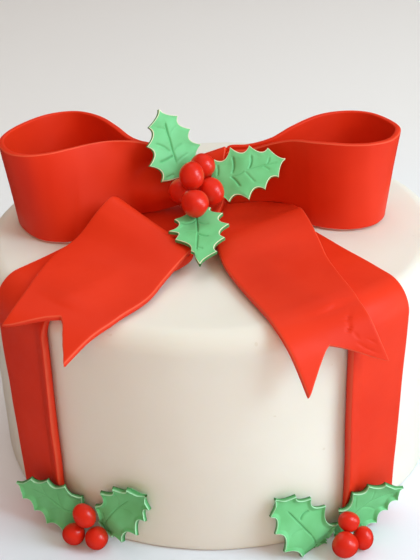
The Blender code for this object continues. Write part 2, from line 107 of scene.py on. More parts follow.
# %% [markdown]
# ## The unevenness of handwork
#
# Nothing that was rolled out and smoothed by hand is quite even. Noise in a material could
# only shade that, so it is put into the shapes: a sum of long, weak sine waves in random
# directions, which has no seams.


# %% Ripple
def ripple(places, size, seed, waves=10):
    """Sum of sine waves in random directions, each about `size` mm long, scaled so that it
    mostly stays between -1 and 1."""
    draw = np.random.default_rng(seed)
    ways = draw.normal(size=(waves, 3))
    ways /= np.linalg.norm(ways, axis=1, keepdims=True)
    lengths = size * draw.uniform(0.7, 1.6, waves)
    phases = draw.uniform(0.0, 2.0 * np.pi, waves)
    total = np.sin(2.0 * np.pi * (places @ ways.T) / lengths + phases).sum(-1)
    return total * np.sqrt(2.0 / waves) / 1.6


print("ripple test:", np.round(ripple(np.eye(3), 2.0, seed=1), 2))

# %% [markdown]
# ## One way to make a sheet
#
# A sheet of paste could be a flat mesh with a Solidify modifier, but its edges would then be
# square or bevelled evenly, and a pressed vein needs a face of its own. So both faces are
# worked out: the middle of the sheet is a surface of two parameters, its normal comes from
# small steps of those parameters, and each face lies half a thickness to one side. Towards a
# cut edge the thickness falls to nothing along nearly a quarter of an ellipse, which rounds
# the edge and lets the two faces meet. Lines of the grid crowd together there.


# %% Crowded lines and a rounded edge
RIM_STEPS = 6
EDGE_POWER = 2.4


def spread(length, radius, steps):
    """Distances from one edge to the other: crowded over the first and last `radius` mm as
    radius times 1 less a cosine, and even between them. Length is a number or one a row."""
    length = np.atleast_1d(np.asarray(length, float))[:, None]
    rim = radius * (1.0 - np.cos(np.linspace(0.0, np.pi / 2.0, RIM_STEPS + 1)))
    even = np.linspace(0.0, 1.0, steps + 1)[1:-1]
    return np.concatenate(
        [rim + 0.0 * length, radius + even * (length - 2.0 * radius), length - rim[::-1]],
        axis=1,
    )


def rounded(edge, radius):
    """Share of the full thickness at a distance from a cut edge: the square root of 1 less a
    power of the distance left to `radius`. The power 2 would be a quarter ellipse, and a
    little more makes the edge blunter."""
    left = 1.0 - np.clip(edge / radius, 0.0, 1.0)
    return np.sqrt(1.0 - left**EDGE_POWER)


print("rounded edge:", np.round(rounded(np.array([0.0, 0.2, 0.5, 1.0]), 1.0), 2))

# %% [markdown]
# ## Two faces from one surface
#
# Both faces of a sheet lie beside its middle, along the normal. Each shape could have its own
# formula for that normal, but small steps along the two parameters give it for all shapes
# alike, and the step is far smaller than anything that shows.


# %% Faces of a sheet
def faces_of(place, u, v, steps, over, under, facing):
    """Front and back of a sheet: place(u, v) plus its unit normal times the height over it,
    and less the normal times the depth under it. The normal is the cross product of small
    steps along u and along v, turned to the side that faces `facing`."""
    du, dv = steps
    along = place(u + du, v) - place(u - du, v)
    across = place(u, v + dv) - place(u, v - dv)
    normal = np.cross(along, across)
    normal /= np.linalg.norm(normal, axis=-1, keepdims=True) + 1e-12
    if (normal * facing).sum() < 0.0:
        normal = -normal
    middle = place(u, v)
    return middle + normal * over[..., None], middle - normal * under[..., None]


corner_u, corner_v = np.meshgrid([0.0, 1.0], [0.0, 1.0])
full = np.ones_like(corner_u)
test_faces = faces_of(
    lambda u, v: np.stack([u, v, 0.0 * u], -1), corner_u, corner_v, (0.1, 0.1), full, full, (0, 0, 1)
)
print("faces of a flat sheet lie at z", [float(face[0, 0, 2]) for face in test_faces])

# %% [markdown]
# ## From grids to a closed mesh
#
# A grid of places becomes quads by whole-array indexing. They could be added one by one in a
# loop, but that is slow for a million faces. The two faces of a sheet, or the seam and poles
# of a turned body, touch exactly where they meet, so merging doubles closes the mesh.
# Normals are recalculated after that. A piece can also carry marks, attributes that
# its finish reads, such as how near a cut edge is or how deep a vein is pressed.


# %% Mesh from grids
def quads_of(rows, columns, start=0, turned=False):
    """Corner numbers of a grid's quads, as one array."""
    index = start + np.arange(rows * columns).reshape(rows, columns)
    corners = (index[:-1, :-1], index[:-1, 1:], index[1:, 1:], index[1:, :-1])
    quads = np.stack(corners, axis=-1).reshape(-1, 4)
    return quads[:, ::-1] if turned else quads


def new_piece(name, grids, finish, node, slot, marks=None):
    """Make one closed piece of some grids in millimetres, weld it, turn its faces outwards
    and let it stand for its solid."""
    points = np.concatenate([grid.reshape(-1, 3) for grid in grids]) * MM
    quads = []
    start = 0
    for number, grid in enumerate(grids):
        quads.append(quads_of(*grid.shape[:2], start, turned=bool(number)))
        start += grid.shape[0] * grid.shape[1]
    mesh = bpy.data.meshes.new(name)
    mesh.from_pydata(points, [], np.concatenate(quads))
    for label, values in (marks or {}).items():
        mark = mesh.attributes.new(label, "FLOAT", "POINT")
        mark.data.foreach_set("value", np.concatenate([v.ravel() for v in values]).astype(np.float32))
    work = bmesh.new()
    work.from_mesh(mesh)
    bmesh.ops.remove_doubles(work, verts=work.verts, dist=1e-7)
    bmesh.ops.recalc_face_normals(work, faces=work.faces)
    work.to_mesh(mesh)
    work.free()
    mesh.shade_smooth()
    mesh.materials.append(finish)
    piece = bpy.data.objects.new(name, mesh)
    bpy.context.scene.collection.objects.link(piece)
    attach(piece, "root")
    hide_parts(node)
    return piece


print("quads of a grid of 3 by 2:", quads_of(3, 2).tolist())

# %% [markdown]
# ## A sheet with its edges
#
# A place function, its cut edges and a thickness become one closed piece. A Solidify and a
# Bevel modifier could do this, but not with an edge that is rounder underneath than on top,
# as a ribbon's is where it bends away from the cake. The sheet also marks a line along its
# corner, where a pale line is painted as a highlight, and the cut wall below that line, where
# the leaves' finish paints shade.

# %% Make a sheet
PAINTED_HIGHLIGHT_PLACE = 0.3
PAINTED_HIGHLIGHT_WIDTH = 0.22
WALL_SHADE_REACH = 0.12


def make_sheet(
    name, place, u, v, steps, thickness, edges, facing, looks,
    relief=0.0, under=0.0, undercut=1.0, **marks,
):
    """Make a sheet from its place function. Its front lies half the thickness plus the relief
    over the middle, and its back half the thickness plus `under` below it, each times the
    rounded shares of all edges. Edges are pairs of a distance to a cut edge and that edge's
    rounding, which is larger underneath by the undercut. The marks are bell curves of the
    distance to the edge, for the corner and the wall, and what else is given for the front."""
    over_share = np.ones_like(u)
    under_share = np.ones_like(u)
    for distance, radius in edges:
        over_share = over_share * rounded(distance, radius)
        under_share = under_share * rounded(distance, radius * undercut)
    nearest = np.minimum.reduce([np.abs(distance) + 0.0 * u for distance, _ in edges])
    over = (thickness / 2.0 + relief) * over_share
    under = (thickness / 2.0 + under) * under_share
    front, back = faces_of(place, u, v, steps, over, under, facing)
    # Marks for painted light: the corner mark places a painted highlight along each cut edge, and the wall
    # mark places painted shade on the leaves' cut walls.
    wall = np.exp(-((nearest / WALL_SHADE_REACH) ** 2))
    corner = np.exp(-(((nearest - PAINTED_HIGHLIGHT_PLACE) / PAINTED_HIGHLIGHT_WIDTH) ** 2))
    values = {"corner": [corner, 0.0 * u], "wall": [wall, wall]}
    for label, mark in marks.items():
        values[label] = [mark, 0.0 * u]
    return new_piece(name, [front, back], *looks, values)


print("the pale line lies", PAINTED_HIGHLIGHT_PLACE, "mm inside a cut edge")

# %% [markdown]
# ## Nodes for the finishes
#
# Every finish here is sugar paste with another dye: satin, faintly mottled where the dye
# wasn't kneaded in fully, with a very fine grain. Pictures could show that, but they would
# have to be wrapped round every piece, so colour and bump come from noise in object
# coordinates. These helpers add a node, mix two colours, map a range and read a mark.


# %% Helpers for nodes
def add_node(tree, kind, inputs=None, **settings):
    """Add a node, set its own settings, and set or link its sockets by name."""
    node = tree.nodes.new(kind)
    for key, value in settings.items():
        setattr(node, key, value)
    for key, value in (inputs or {}).items():
        if isinstance(value, bpy.types.NodeSocket):
            tree.links.new(value, node.inputs[key])
        else:
            node.inputs[key].default_value = value
    return node


def mixed(tree, share, first, second, blend="MIX"):
    """Mix two colours by a share. A colour is four numbers or another node's socket."""
    node = add_node(tree, "ShaderNodeMix", {0: share}, data_type="RGBA", blend_type=blend)
    for key, value in ((6, first), (7, second)):
        if isinstance(value, bpy.types.NodeSocket):
            tree.links.new(value, node.inputs[key])
        else:
            node.inputs[key].default_value = (*value, 1.0)
    return node.outputs[2]


def ranged(tree, value, low, high, to_low, to_high):
    """Map a value from one range to another, held at both ends."""
    values = {"Value": value, "From Min": low, "From Max": high, "To Min": to_low, "To Max": to_high}
    return add_node(tree, "ShaderNodeMapRange", values).outputs["Result"]


def attribute(tree, label):
    """A mark of the piece, as a number."""
    return add_node(tree, "ShaderNodeAttribute", attribute_name=label).outputs["Fac"]


print("a mark is read by its name, such as corner, wall or vein")

# %% [markdown]
# ## A finish and its grain
#
# A finish starts as one Principled shader with its roughness and shine. The grain is a bump
# of several noises added up: a fine one for the sugar, and a longer one for the hand that
# smoothed it. A bump is enough here, because the grain is finer than any mesh.

# %% Start a finish
COAT_ROUGHNESS = 0.12


def new_finish(name, roughness, specular, coat=0.0):
    """Start a finish: return its tree, its shader and a noise maker in object coordinates."""
    finish = bpy.data.materials.new(name)
    finish.use_nodes = True
    tree = finish.node_tree
    shader = tree.nodes["Principled BSDF"]
    shader.inputs["Roughness"].default_value = roughness
    shader.inputs["Specular IOR Level"].default_value = specular
    shader.inputs["Coat Weight"].default_value = coat
    shader.inputs["Coat Roughness"].default_value = COAT_ROUGHNESS
    place = add_node(tree, "ShaderNodeTexCoord").outputs["Object"]

    def noise(millimetres, detail=2.0):
        """Noise with features of about that size, from 0 to 1."""
        values = {"Vector": place, "Scale": 1.0 / (millimetres * MM), "Detail": detail}
        return add_node(tree, "ShaderNodeTexNoise", values).outputs["Fac"]

    return finish, tree, shader, noise


def grain(tree, shader, heights, strength, depth):
    """Bump of several noises added up: pairs of a noise and its share."""
    total = None
    for value, share in heights:
        part = add_node(tree, "ShaderNodeMath", {0: value, 1: share}, operation="MULTIPLY").outputs[0]
        if total is not None:
            part = add_node(tree, "ShaderNodeMath", {0: total, 1: part}, operation="ADD").outputs[0]
        total = part
    bump = add_node(tree, "ShaderNodeBump", {"Height": total, "Strength": strength, "Distance": depth * MM})
    tree.links.new(bump.outputs["Normal"], shader.inputs["Normal"])


print("coat roughness:", COAT_ROUGHNESS)

# %% [markdown]
# ## The icing's finish
#
# Rolled icing is warm white and lets a little light in, so it has a weak subsurface share. It
# is faintly cloudy, and pinprick holes are left where air was rolled in. They could be
# modelled, but a few rare peaks of a small noise do as well: the bump lowers them, and their
# darker colour is painted shade inside them.


# %% Ivory icing
def ivory_icing():
    """Rolled icing: warm white, faintly mottled, with a few pinprick air holes, painted darker as shade."""
    finish, tree, shader, noise = new_finish("ivory_icing", 0.5, 0.35)
    cloud = ranged(tree, noise(46.0, 3.0), 0.35, 0.65, 0.0, 1.0)
    colour = mixed(tree, cloud, (0.795, 0.755, 0.65), (0.825, 0.785, 0.685))
    # The holes are lowered by the bump below and painted darker, as the shade inside them.
    holes = ranged(tree, noise(2.6, 0.0), 0.88, 0.92, 0.0, 0.4)
    colour = mixed(tree, holes, colour, (0.66, 0.58, 0.44))
    tree.links.new(colour, shader.inputs["Base Color"])
    shader.inputs["Subsurface Weight"].default_value = 0.12
    shader.inputs["Subsurface Radius"].default_value = (1.0, 0.6, 0.35)
    shader.inputs["Subsurface Scale"].default_value = 0.002
    grain(tree, shader, [(noise(0.8), 0.25), (noise(9.0), 1.0), (holes, -0.6)], 0.35, 0.12)
    return finish


IVORY = ivory_icing()
print("finish:", IVORY.name)

# %% [markdown]
# ## The red of the ribbons and the bow
#
# The paste is dyed right through, so its red is deep and even. Along a cut edge a paler red
# is painted as a highlight. A second material could colour the edge, but it would end in a
# hard line, so the corner's mark fades the painted highlight in.


# %% Red paste
def red_paste():
    """Red paste: deep and even, with a paler red painted along its cut edges as a highlight."""
    finish, tree, shader, noise = new_finish("red_paste", 0.5, 0.19)
    cloud = ranged(tree, noise(30.0, 2.0), 0.3, 0.7, 0.0, 1.0)
    colour = mixed(tree, cloud, (0.71, 0.028, 0.005), (0.775, 0.036, 0.0075))
    # Painted highlight: a paler red along the corner of each cut edge.
    cut = ranged(tree, attribute(tree, "corner"), 0.2, 1.0, 0.0, 0.4)
    colour = mixed(tree, cut, colour, (0.88, 0.20, 0.10))
    tree.links.new(colour, shader.inputs["Base Color"])
    tree.links.new(ranged(tree, noise(7.0), 0.3, 0.7, 0.44, 0.56), shader.inputs["Roughness"])
    grain(tree, shader, [(noise(0.6), 0.3), (noise(5.0), 1.0)], 0.3, 0.1)
    return finish


RED = red_paste()
print("finish:", RED.name)

# %% [markdown]
# ## The berries' finish
#
# The berries are rolled between the palms until they shine a little, so they are the only
# shiny pieces. A low roughness alone would shine like plastic, so they have the same dye,
# a little less roughness and a thin coat, on which the window shows as a soft spot.


# %% Berry paste
def berry_paste():
    """Berries: the same dye, polished by rolling, so smooth and a little shiny."""
    finish, tree, shader, noise = new_finish("berry_paste", 0.37, 0.3, coat=0.26)
    cloud = ranged(tree, noise(5.0), 0.3, 0.7, 0.0, 1.0)
    colour = mixed(tree, cloud, (0.66, 0.016, 0.004), (0.73, 0.024, 0.007))
    tree.links.new(colour, shader.inputs["Base Color"])
    grain(tree, shader, [(noise(1.2), 0.3), (noise(3.5), 1.0)], 0.25, 0.1)
    return finish


BERRY = berry_paste()
print("finish:", BERRY.name)

# %% [markdown]
# ## The holly's finish
#
# The leaves are mint green. Their pressed veins and cut walls are painted darker as shade,
# and a pale line along the corner is a painted highlight. That line is cream on the bow's
# leaves and mint on those at the foot. Two finishes written out would repeat each other, so
# one function takes the line's colour.


# %% Holly paste
def holly_paste(name, rim):
    """Holly: mint green, with painted shade in its veins and on its cut walls, and a pale line
    of painted highlight along the corner."""
    finish, tree, shader, noise = new_finish(name, 0.5, 0.3)
    cloud = ranged(tree, noise(9.0), 0.3, 0.7, 0.0, 1.0)
    colour = mixed(tree, cloud, (0.155, 0.53, 0.20), (0.19, 0.61, 0.255))
    # Painted shade in the pressed veins.
    pressed = ranged(tree, attribute(tree, "vein"), 0.15, 1.0, 0.0, 0.7)
    colour = mixed(tree, pressed, colour, (0.07, 0.34, 0.12))
    # Painted shade on the cut walls.
    wall = ranged(tree, attribute(tree, "wall"), 0.2, 0.9, 0.0, 0.75)
    colour = mixed(tree, wall, colour, (0.05, 0.24, 0.06))
    # Painted highlight along the corner, in the colour given as rim.
    line = ranged(tree, attribute(tree, "corner"), 0.25, 0.85, 0.0, 0.95)
    colour = mixed(tree, line, colour, rim)
    tree.links.new(colour, shader.inputs["Base Color"])
    grain(tree, shader, [(noise(0.7), 0.35), (noise(4.0), 1.0)], 0.35, 0.12)
    return finish


# The last colour is that of the painted highlight along the corner.
CREAM_HIGHLIGHT_HOLLY = holly_paste("holly_paste_painted_cream_highlight", (0.86, 0.80, 0.55))
MINT_HIGHLIGHT_HOLLY = holly_paste("holly_paste_painted_mint_highlight", (0.50, 0.86, 0.56))
print("finishes:", [finish.name for finish in bpy.data.materials])

# %% [markdown]
# ## The iced cake
#
# A cake under rolled icing is a turned body with a soft shoulder, but the icing was smoothed
# by hand, so it isn't a lathe's surface. The outline could be a curve with a Screw modifier,
# but each ring is pressed in on its own, so it is worked out as arrays of radii and heights.

# %% Outline of the cake
FOOT_ROUNDING = 1.5


def cake_outline():
    """Radius and height from the middle of the top to the middle of the underside: a flat
    top, a quarter circle, an upright side, a small quarter circle and a flat underside."""
    turn = np.linspace(0.0, np.pi / 2.0, 28)
    shoulder = (FLAT_RADIUS + SHOULDER_RADIUS * np.sin(turn), SIDE_HEIGHT + SHOULDER_RADIUS * np.cos(turn))
    inner = CAKE_RADIUS - FOOT_ROUNDING
    foot = (inner + FOOT_ROUNDING * np.cos(turn[::4]), FOOT_ROUNDING * (1.0 - np.sin(turn[::4])))
    top = np.linspace(0.0, FLAT_RADIUS, 48)[:-1]
    side = np.linspace(SIDE_HEIGHT, FOOT_ROUNDING, 70)[1:-1]
    under = np.linspace(inner, 0.0, 4)[1:]
    radius = np.concatenate([top, shoulder[0], np.full(len(side), CAKE_RADIUS), foot[0], under])
    height = np.concatenate([np.full(len(top), CAKE_HEIGHT), shoulder[1], side, foot[1], 0.0 * under])
    return radius, height


print("points from the top to the underside:", len(cake_outline()[0]))

# %% [markdown]
# ## Turning and smoothing the icing
#
# The outline times a circle gives the whole grid at once. The ripple then presses it in by up
# to half a millimetre. A sculpted surface could bulge as well, but this one never does, so it
# stays clear of the ribbons. Low on its side the icing was trimmed with a knife, which
# leaves a wavier foot.


# %% Turn and smooth the icing
# Each in mm: how deep the icing is pressed, and the size of the ripple that presses it
LONG_PRESS, LONG_SIZE = 0.2, 55.0
SHORT_PRESS, SHORT_SIZE = 0.05, 16.0
FOOT_PRESS, FOOT_SIZE = 0.35, 30.0
# Over this height the wavy foot fades
FOOT_FADE = 1.6


def make_icing(columns=400):
    """Turn the outline: x is radius times the sine of the angle, y less radius times its
    cosine. The icing is pressed in along the radius on the side and downwards on the top, by
    the long and the short press, each times 1 plus its ripple. The foot's press fades as e
    to the power of less the height over FOOT_FADE."""
    radius, height = cake_outline()
    angle = np.linspace(0.0, 2.0 * np.pi, columns + 1)
    angle[-1] = 0.0
    spin = np.stack([np.sin(angle), -np.cos(angle)], axis=-1)
    grid = np.empty((len(radius), columns + 1, 3))
    grid[..., :2] = radius[:, None, None] * spin
    grid[..., 2] = height[:, None]
    pressed = LONG_PRESS * (1.0 + np.clip(ripple(grid, LONG_SIZE, seed=3), -1.0, 1.0))
    pressed += SHORT_PRESS * (1.0 + np.clip(ripple(grid, SHORT_SIZE, seed=4), -1.0, 1.0))
    foot_wave = FOOT_PRESS * (1.0 + ripple(grid, FOOT_SIZE, seed=5))
    foot_wave = foot_wave * np.exp(-grid[..., 2] / FOOT_FADE)
    on_top = ease((height - SIDE_HEIGHT) / SHOULDER_RADIUS)[:, None]
    standing = ease(height / 0.4)[:, None] * (height > 0.0)[:, None]
    grid[..., 2] -= pressed * on_top
    grid[..., :2] *= (1.0 - (pressed * (1.0 - on_top) * standing + foot_wave) / CAKE_RADIUS)[..., None]
    return new_piece("icing", [grid], IVORY, "cake", "ivory_fondant")


icing = make_icing()
print("icing:", len(icing.data.vertices), "vertices")

# %% [markdown]
# ## Ribbons over the cake
#
# Two flat ribbons cross over the cake and run down its side. One is whole, and the other was
# laid in two lengths that butt against it under the bow. A ribbon follows the cake's outline:
# up the side, round the shoulder, straight over the top. Each thread of it keeps its own
# distance from the middle plane, so on the round side the plan distance along the heading is
# the square root of radius squared less that offset squared.

# %% Where the ribbons lie
# Heading in degrees, right of the front. Left and right edge in mm from the middle plane, on
# the top and at the foot. How far the left and the right edge lift off the cake's side.
RIGHT_RIBBON = {"heading": 32.2, "top": (-6.5, 25.3), "foot": (-6.5, 19.6), "lifts": (2.1, 0.0)}
LEFT_RIBBON = {"heading": -42.0, "top": (-28.0, 5.6), "foot": (-23.0, 4.6), "lifts": (0.0, 1.9)}
RIBBON_THICKNESS = 3.0
RIBBON_TRIM = 3.0
RIBBON_LIFT = GAP + RIBBON_THICKNESS / 2.0
RIBBON_SHOULDER = SHOULDER_RADIUS + RIBBON_LIFT
ARC_LENGTH = RIBBON_SHOULDER * np.pi / 2.0
RIBBON_REACH = FLAT_RADIUS + ARC_LENGTH + SIDE_HEIGHT - RIBBON_TRIM


def plan_ways(degrees):
    """Unit vectors in plan along a heading, 0 at the front and turning right, and across it:
    (sine, less cosine) and (cosine, sine) of the angle."""
    angle = np.radians(degrees)
    return np.array([np.sin(angle), -np.cos(angle)]), np.array([np.cos(angle), np.sin(angle)])


def ribbon_offset(ribbon, height, share):
    """Distance right of the middle plane: from the left edge to the right edge by the share,
    the edges running straight from their places on the top to those at the foot."""
    drop = np.clip(1.0 - height / SIDE_HEIGHT, 0.0, 1.0)
    left, right = (top + (foot - top) * drop for top, foot in zip(ribbon["top"], ribbon["foot"]))
    return left + (right - left) * share


print("ribbon reach each way:", round(RIBBON_REACH, 1), "mm")

# %% [markdown]
# ## Bending a ribbon over the cake
#
# A flat strip with a Shrinkwrap modifier would slip and stretch on the shoulder. Here every
# thread is carried over the cake by its length, with a slight sideways wave, because nobody
# lays a soft ribbon quite straight.

# %% Place function of a ribbon
RIBBON_WAVE = 0.12
RIBBON_WAVE_LENGTH = 24.0


def ribbon_place(ribbon):
    """Place function of a ribbon. u is the distance from the middle of the top along the
    heading, in mm of ribbon: flat, then a quarter turn, then straight down. v is the share
    across."""
    ahead, across = plan_ways(ribbon["heading"])

    def place(u, v):
        away = np.abs(u)
        angle = np.clip((away - FLAT_RADIUS) / RIBBON_SHOULDER, 0.0, np.pi / 2.0)
        fallen = np.maximum(away - FLAT_RADIUS - ARC_LENGTH, 0.0)
        radius = FLAT_RADIUS + RIBBON_SHOULDER * np.sin(angle)
        height = SIDE_HEIGHT + RIBBON_SHOULDER * np.cos(angle) - fallen
        offset = ribbon_offset(ribbon, height, v)
        wave = ripple(np.stack([u, 0.0 * u, 0.0 * u], -1), RIBBON_WAVE_LENGTH, seed=8)
        offset = offset + RIBBON_WAVE * wave
        reach = np.sqrt(radius**2 - offset**2)
        reach = reach * np.minimum(away / FLAT_RADIUS, 1.0) * np.sign(u)
        plan = across * offset[..., None] + ahead * reach[..., None]
        return np.concatenate([plan, height[..., None]], axis=-1)

    return place


top_middle = ribbon_place(RIGHT_RIBBON)(np.array([0.0]), np.array([0.5]))[0]
print("the right ribbon crosses the middle at", np.round(top_middle, 1))

# %% [markdown]
# ## Where the two ribbons meet
#
# The left ribbon stops at the right one's edges on both sides, so that it doesn't ride up
# over it. A Boolean could cut it there, but would leave a sharp end. Instead each thread ends
# where its own straight line meets that edge, and the end is rounded like any other.


# %% Distance to the butt joint
def butt_distance(ribbon, share, behind):
    """Distance u at which a thread of the left ribbon meets the right ribbon's edge: the
    edge's offset, less the thread's offset times the cosine between the two across ways,
    over the part of the heading that runs across the right ribbon."""
    ahead, across = plan_ways(ribbon["heading"])
    other = plan_ways(RIGHT_RIBBON["heading"])[1]
    left, right = RIGHT_RIBBON["top"]
    edge = right + GAP if behind else left - GAP
    offset = ribbon_offset(ribbon, CAKE_HEIGHT, share)
    distance = (edge - offset * (across @ other)) / (ahead @ other)
    return distance * FLAT_RADIUS / np.sqrt(FLAT_RADIUS**2 - offset**2)


print("front joint, left to right:", np.round(butt_distance(LEFT_RIBBON, np.linspace(0, 1, 3), False), 1))

# %% [markdown]
# ## One length of ribbon
#
# A length of ribbon is a sheet between two distances. On the cake's side one edge of each
# ribbon has lifted a little, because it was pressed on from the middle, and further down the
# leaves hold it. The whole strip could be bent outwards, but only one edge stands off, so the
# relief raises the front along that edge, and the back follows.

# %% Make one length
RIBBON_ROUNDING = 0.7
RIBBON_UNDERCUT = 2.4
# A lifted edge rises over this width, from below the shoulder to above the foot
LIFT_WIDTH = 7.0
LIFT_START = FLAT_RADIUS + 4.0
LIFT_RUN = 14.0
LIFT_FOOT = 12.0
# The front is lowered by the second, so that the ripple stays inside the ribbon's thickness
RIBBON_RELIEF = 0.12
RIBBON_SINK = 0.18


def make_ribbon(name, ribbon, node, start, end, rows):
    """Lay one length of ribbon. Start and end are distances u, each a number or a function
    of the share across."""
    width = ribbon["top"][1] - ribbon["top"][0]
    v = spread(width, RIBBON_ROUNDING, 26) / width
    start, end = (value(v) if callable(value) else value + 0.0 * v for value in (start, end))
    length = abs((end - start).mean())
    along = spread(length, RIBBON_ROUNDING, rows).T / length
    u = start + (end - start) * along
    v = v + 0.0 * u
    place = ribbon_place(ribbon)
    heights = place(u, v)[..., 2]
    wide = ribbon_offset(ribbon, heights, 1.0) - ribbon_offset(ribbon, heights, 0.0)
    edges = [(v * wide, RIBBON_ROUNDING), ((1.0 - v) * wide, RIBBON_ROUNDING)]
    edges += [(along * length + 0.0 * u, RIBBON_ROUNDING)]
    edges += [((1.0 - along) * length + 0.0 * u, RIBBON_ROUNDING)]
    left_lift, right_lift = ribbon["lifts"]
    lift = left_lift * ease(1.0 - v * wide / LIFT_WIDTH)
    lift = lift + right_lift * ease(1.0 - (1.0 - v) * wide / LIFT_WIDTH)
    lift = lift * ease((u - LIFT_START) / LIFT_RUN) * ease((heights - LIFT_FOOT) / LIFT_FOOT)
    relief = RIBBON_RELIEF * ripple(place(u, v), 26.0, seed=9) - RIBBON_SINK + lift
    facing = np.stack([0.0 * u, 0.0 * u, 1.0 + 0.0 * u], -1) + place(u, v) * 0.02
    looks = (RED, node, "red_fondant")
    return make_sheet(
        name, place, u, v, (0.05, 0.001), RIBBON_THICKNESS, edges, facing, looks, relief, -lift,
        RIBBON_UNDERCUT,
    )


print("an edge lifts by up to", max(RIGHT_RIBBON["lifts"] + LEFT_RIBBON["lifts"]), "mm")

# %% [markdown]
# ## Laying the ribbons
#
# The right ribbon goes on whole, and the left one in its two lengths. A few rows and a
# Subdivision modifier would do for a flat strip, but a bend round the cake shows its facets
# on the outline, so the long one has 420 rows, a little under a millimetre apart.

# %% Lay the ribbons
long_ribbon = make_ribbon("ribbon_right", RIGHT_RIBBON, "band_right", -RIBBON_REACH, RIBBON_REACH, 420)
front_ribbon = make_ribbon(
    "ribbon_left_front", LEFT_RIBBON, "band_left_front", RIBBON_REACH,
    lambda share: butt_distance(LEFT_RIBBON, share, False), 220,
)
back_ribbon = make_ribbon(
    "ribbon_left_back", LEFT_RIBBON, "band_left_back", -RIBBON_REACH,
    lambda share: butt_distance(LEFT_RIBBON, share, True), 220,
)
for ribbon in (long_ribbon, front_ribbon, back_ribbon):
    print(ribbon.name, len(ribbon.data.vertices), "vertices")

# %% [markdown]
# ## The bow's loops
#
# Each loop is a ribbon stood on edge and bent round, widest at its outer end and pinched into
# the gather. It could be bent by a cloth simulation, but set paste holds the shape that the
# maker gave it, so it is drawn directly: a foot line and a rim line, each a smooth curve
# through a few stations, with straight threads of paste between them.

# %% Stations of the loops
# From the front inner end round the outer end to the back inner end: foot, then rim
LOOP_RIGHT = (
    ((0.8, 6.8, 108.5), (0.8, 6.8, 122.8)),
    ((5.2, 6.8, 107.2), (5.2, 6.8, 123.4)),
    ((8.6, 6.5, 105.0), (7.6, 6.6, 129.4)),
    ((17.3, 5.8, 106.0), (17.0, 5.2, 131.0)),
    ((28.0, 2.4, 107.2), (27.0, 1.7, 134.8)),
    ((35.4, -2.9, 107.1), (34.4, -2.7, 137.5)),
    ((39.8, -6.8, 102.4), (38.8, -6.6, 138.7)),
    ((44.2, -10.8, 101.0), (43.0, -10.2, 139.4)),
    ((51.0, -14.3, 101.0), (50.0, -14.0, 140.0)),
    ((59.0, -15.5, 101.0), (58.0, -16.3, 140.0)),
    ((67.2, -13.1, 101.0), (66.5, -16.2, 140.0)),
    ((72.6, -6.8, 101.0), (75.0, -11.6, 140.0)),
    ((74.7, 2.8, 101.0), (79.7, -0.5, 140.0)),
    ((73.0, 12.5, 101.0), (77.6, 9.6, 140.0)),
    ((66.5, 19.5, 101.0), (70.7, 20.0, 140.0)),
    ((57.5, 21.5, 101.0), (60.5, 23.2, 140.0)),
    ((46.5, 18.0, 101.3), (48.5, 20.5, 139.6)),
    ((36.0, 13.8, 103.0), (37.0, 14.6, 137.4)),
    ((26.5, 11.0, 106.0), (27.0, 10.2, 133.6)),
    ((17.0, 9.8, 108.0), (17.0, 9.9, 131.2)),
    ((8.9, 9.5, 108.6), (8.3, 10.4, 130.6)),
    ((5.4, 9.7, 108.5), (5.6, 10.4, 125.4)),
    ((0.8, 9.7, 108.5), (0.8, 9.7, 122.8)),
)
LOOP_LEFT = (
    ((-0.8, 6.8, 107.8), (-0.8, 6.8, 122.8)),
    ((-5.5, 6.8, 107.6), (-5.5, 6.8, 123.0)),
    ((-10.0, 6.5, 107.0), (-10.0, 6.3, 128.8)),
    ((-15.5, 6.0, 105.8), (-16.0, 5.2, 131.6)),
    ((-23.0, 4.2, 104.5), (-23.5, 3.0, 135.4)),
    ((-32.0, 1.4, 104.6), (-31.0, 1.0, 138.4)),
    ((-42.5, -9.0, 104.0), (-41.5, 0.4, 139.2)),
    ((-51.5, -15.6, 101.3), (-50.5, -3.6, 139.6)),
    ((-59.5, -17.8, 101.0), (-59.0, -9.6, 140.0)),
    ((-67.0, -17.2, 101.0), (-67.0, -13.6, 140.0)),
    ((-74.0, -13.4, 101.0), (-75.5, -14.4, 140.0)),
    ((-80.5, -4.5, 101.0), (-83.0, -10.0, 140.0)),
    ((-84.4, 6.0, 101.0), (-88.0, 1.0, 140.0)),
    ((-83.2, 17.0, 101.0), (-87.0, 12.5, 140.0)),
    ((-76.5, 26.5, 101.0), (-80.5, 24.5, 140.0)),
    ((-66.0, 31.5, 101.0), (-71.5, 33.8, 140.0)),
    ((-55.0, 29.5, 101.0), (-60.0, 36.4, 140.0)),
    ((-45.0, 22.0, 101.2), (-49.5, 29.4, 139.9)),
    ((-35.5, 13.8, 102.5), (-41.0, 19.0, 138.6)),
    ((-27.0, 11.0, 105.0), (-34.0, 12.2, 135.6)),
    ((-18.5, 9.9, 107.0), (-24.0, 10.2, 132.6)),
    ((-10.5, 9.5, 108.0), (-13.0, 9.6, 129.8)),
    ((-6.5, 9.7, 108.3), (-8.4, 9.7, 125.6)),
    ((-0.8, 9.7, 108.5), (-0.8, 9.7, 122.8)),
)
# Dents in the left loop's front wall: distance right, height, depth towards the back and
# reach. A depth below 0 is a bulge.
LOOP_LEFT_DENTS = (
    (-25.0, 126.0, 5.0, 6.5), (-27.0, 114.5, -4.0, 7.5),
    (-17.0, 113.5, -2.4, 5.0), (-40.0, 130.0, -1.6, 9.0),
)
print("stations of the loops:", len(LOOP_RIGHT), "and", len(LOOP_LEFT))

# %% [markdown]
# ## Resting on what lies below
#
# The bow stands and lies on icing and ribbons, and set paste neither floats nor sinks in. It
# could be nudged by hand wherever it shows through, but one function for the lowest height
# at any place, and a soft maximum, lift all of it. The soft maximum rounds the step at a
# ribbon's edge, as paste does.


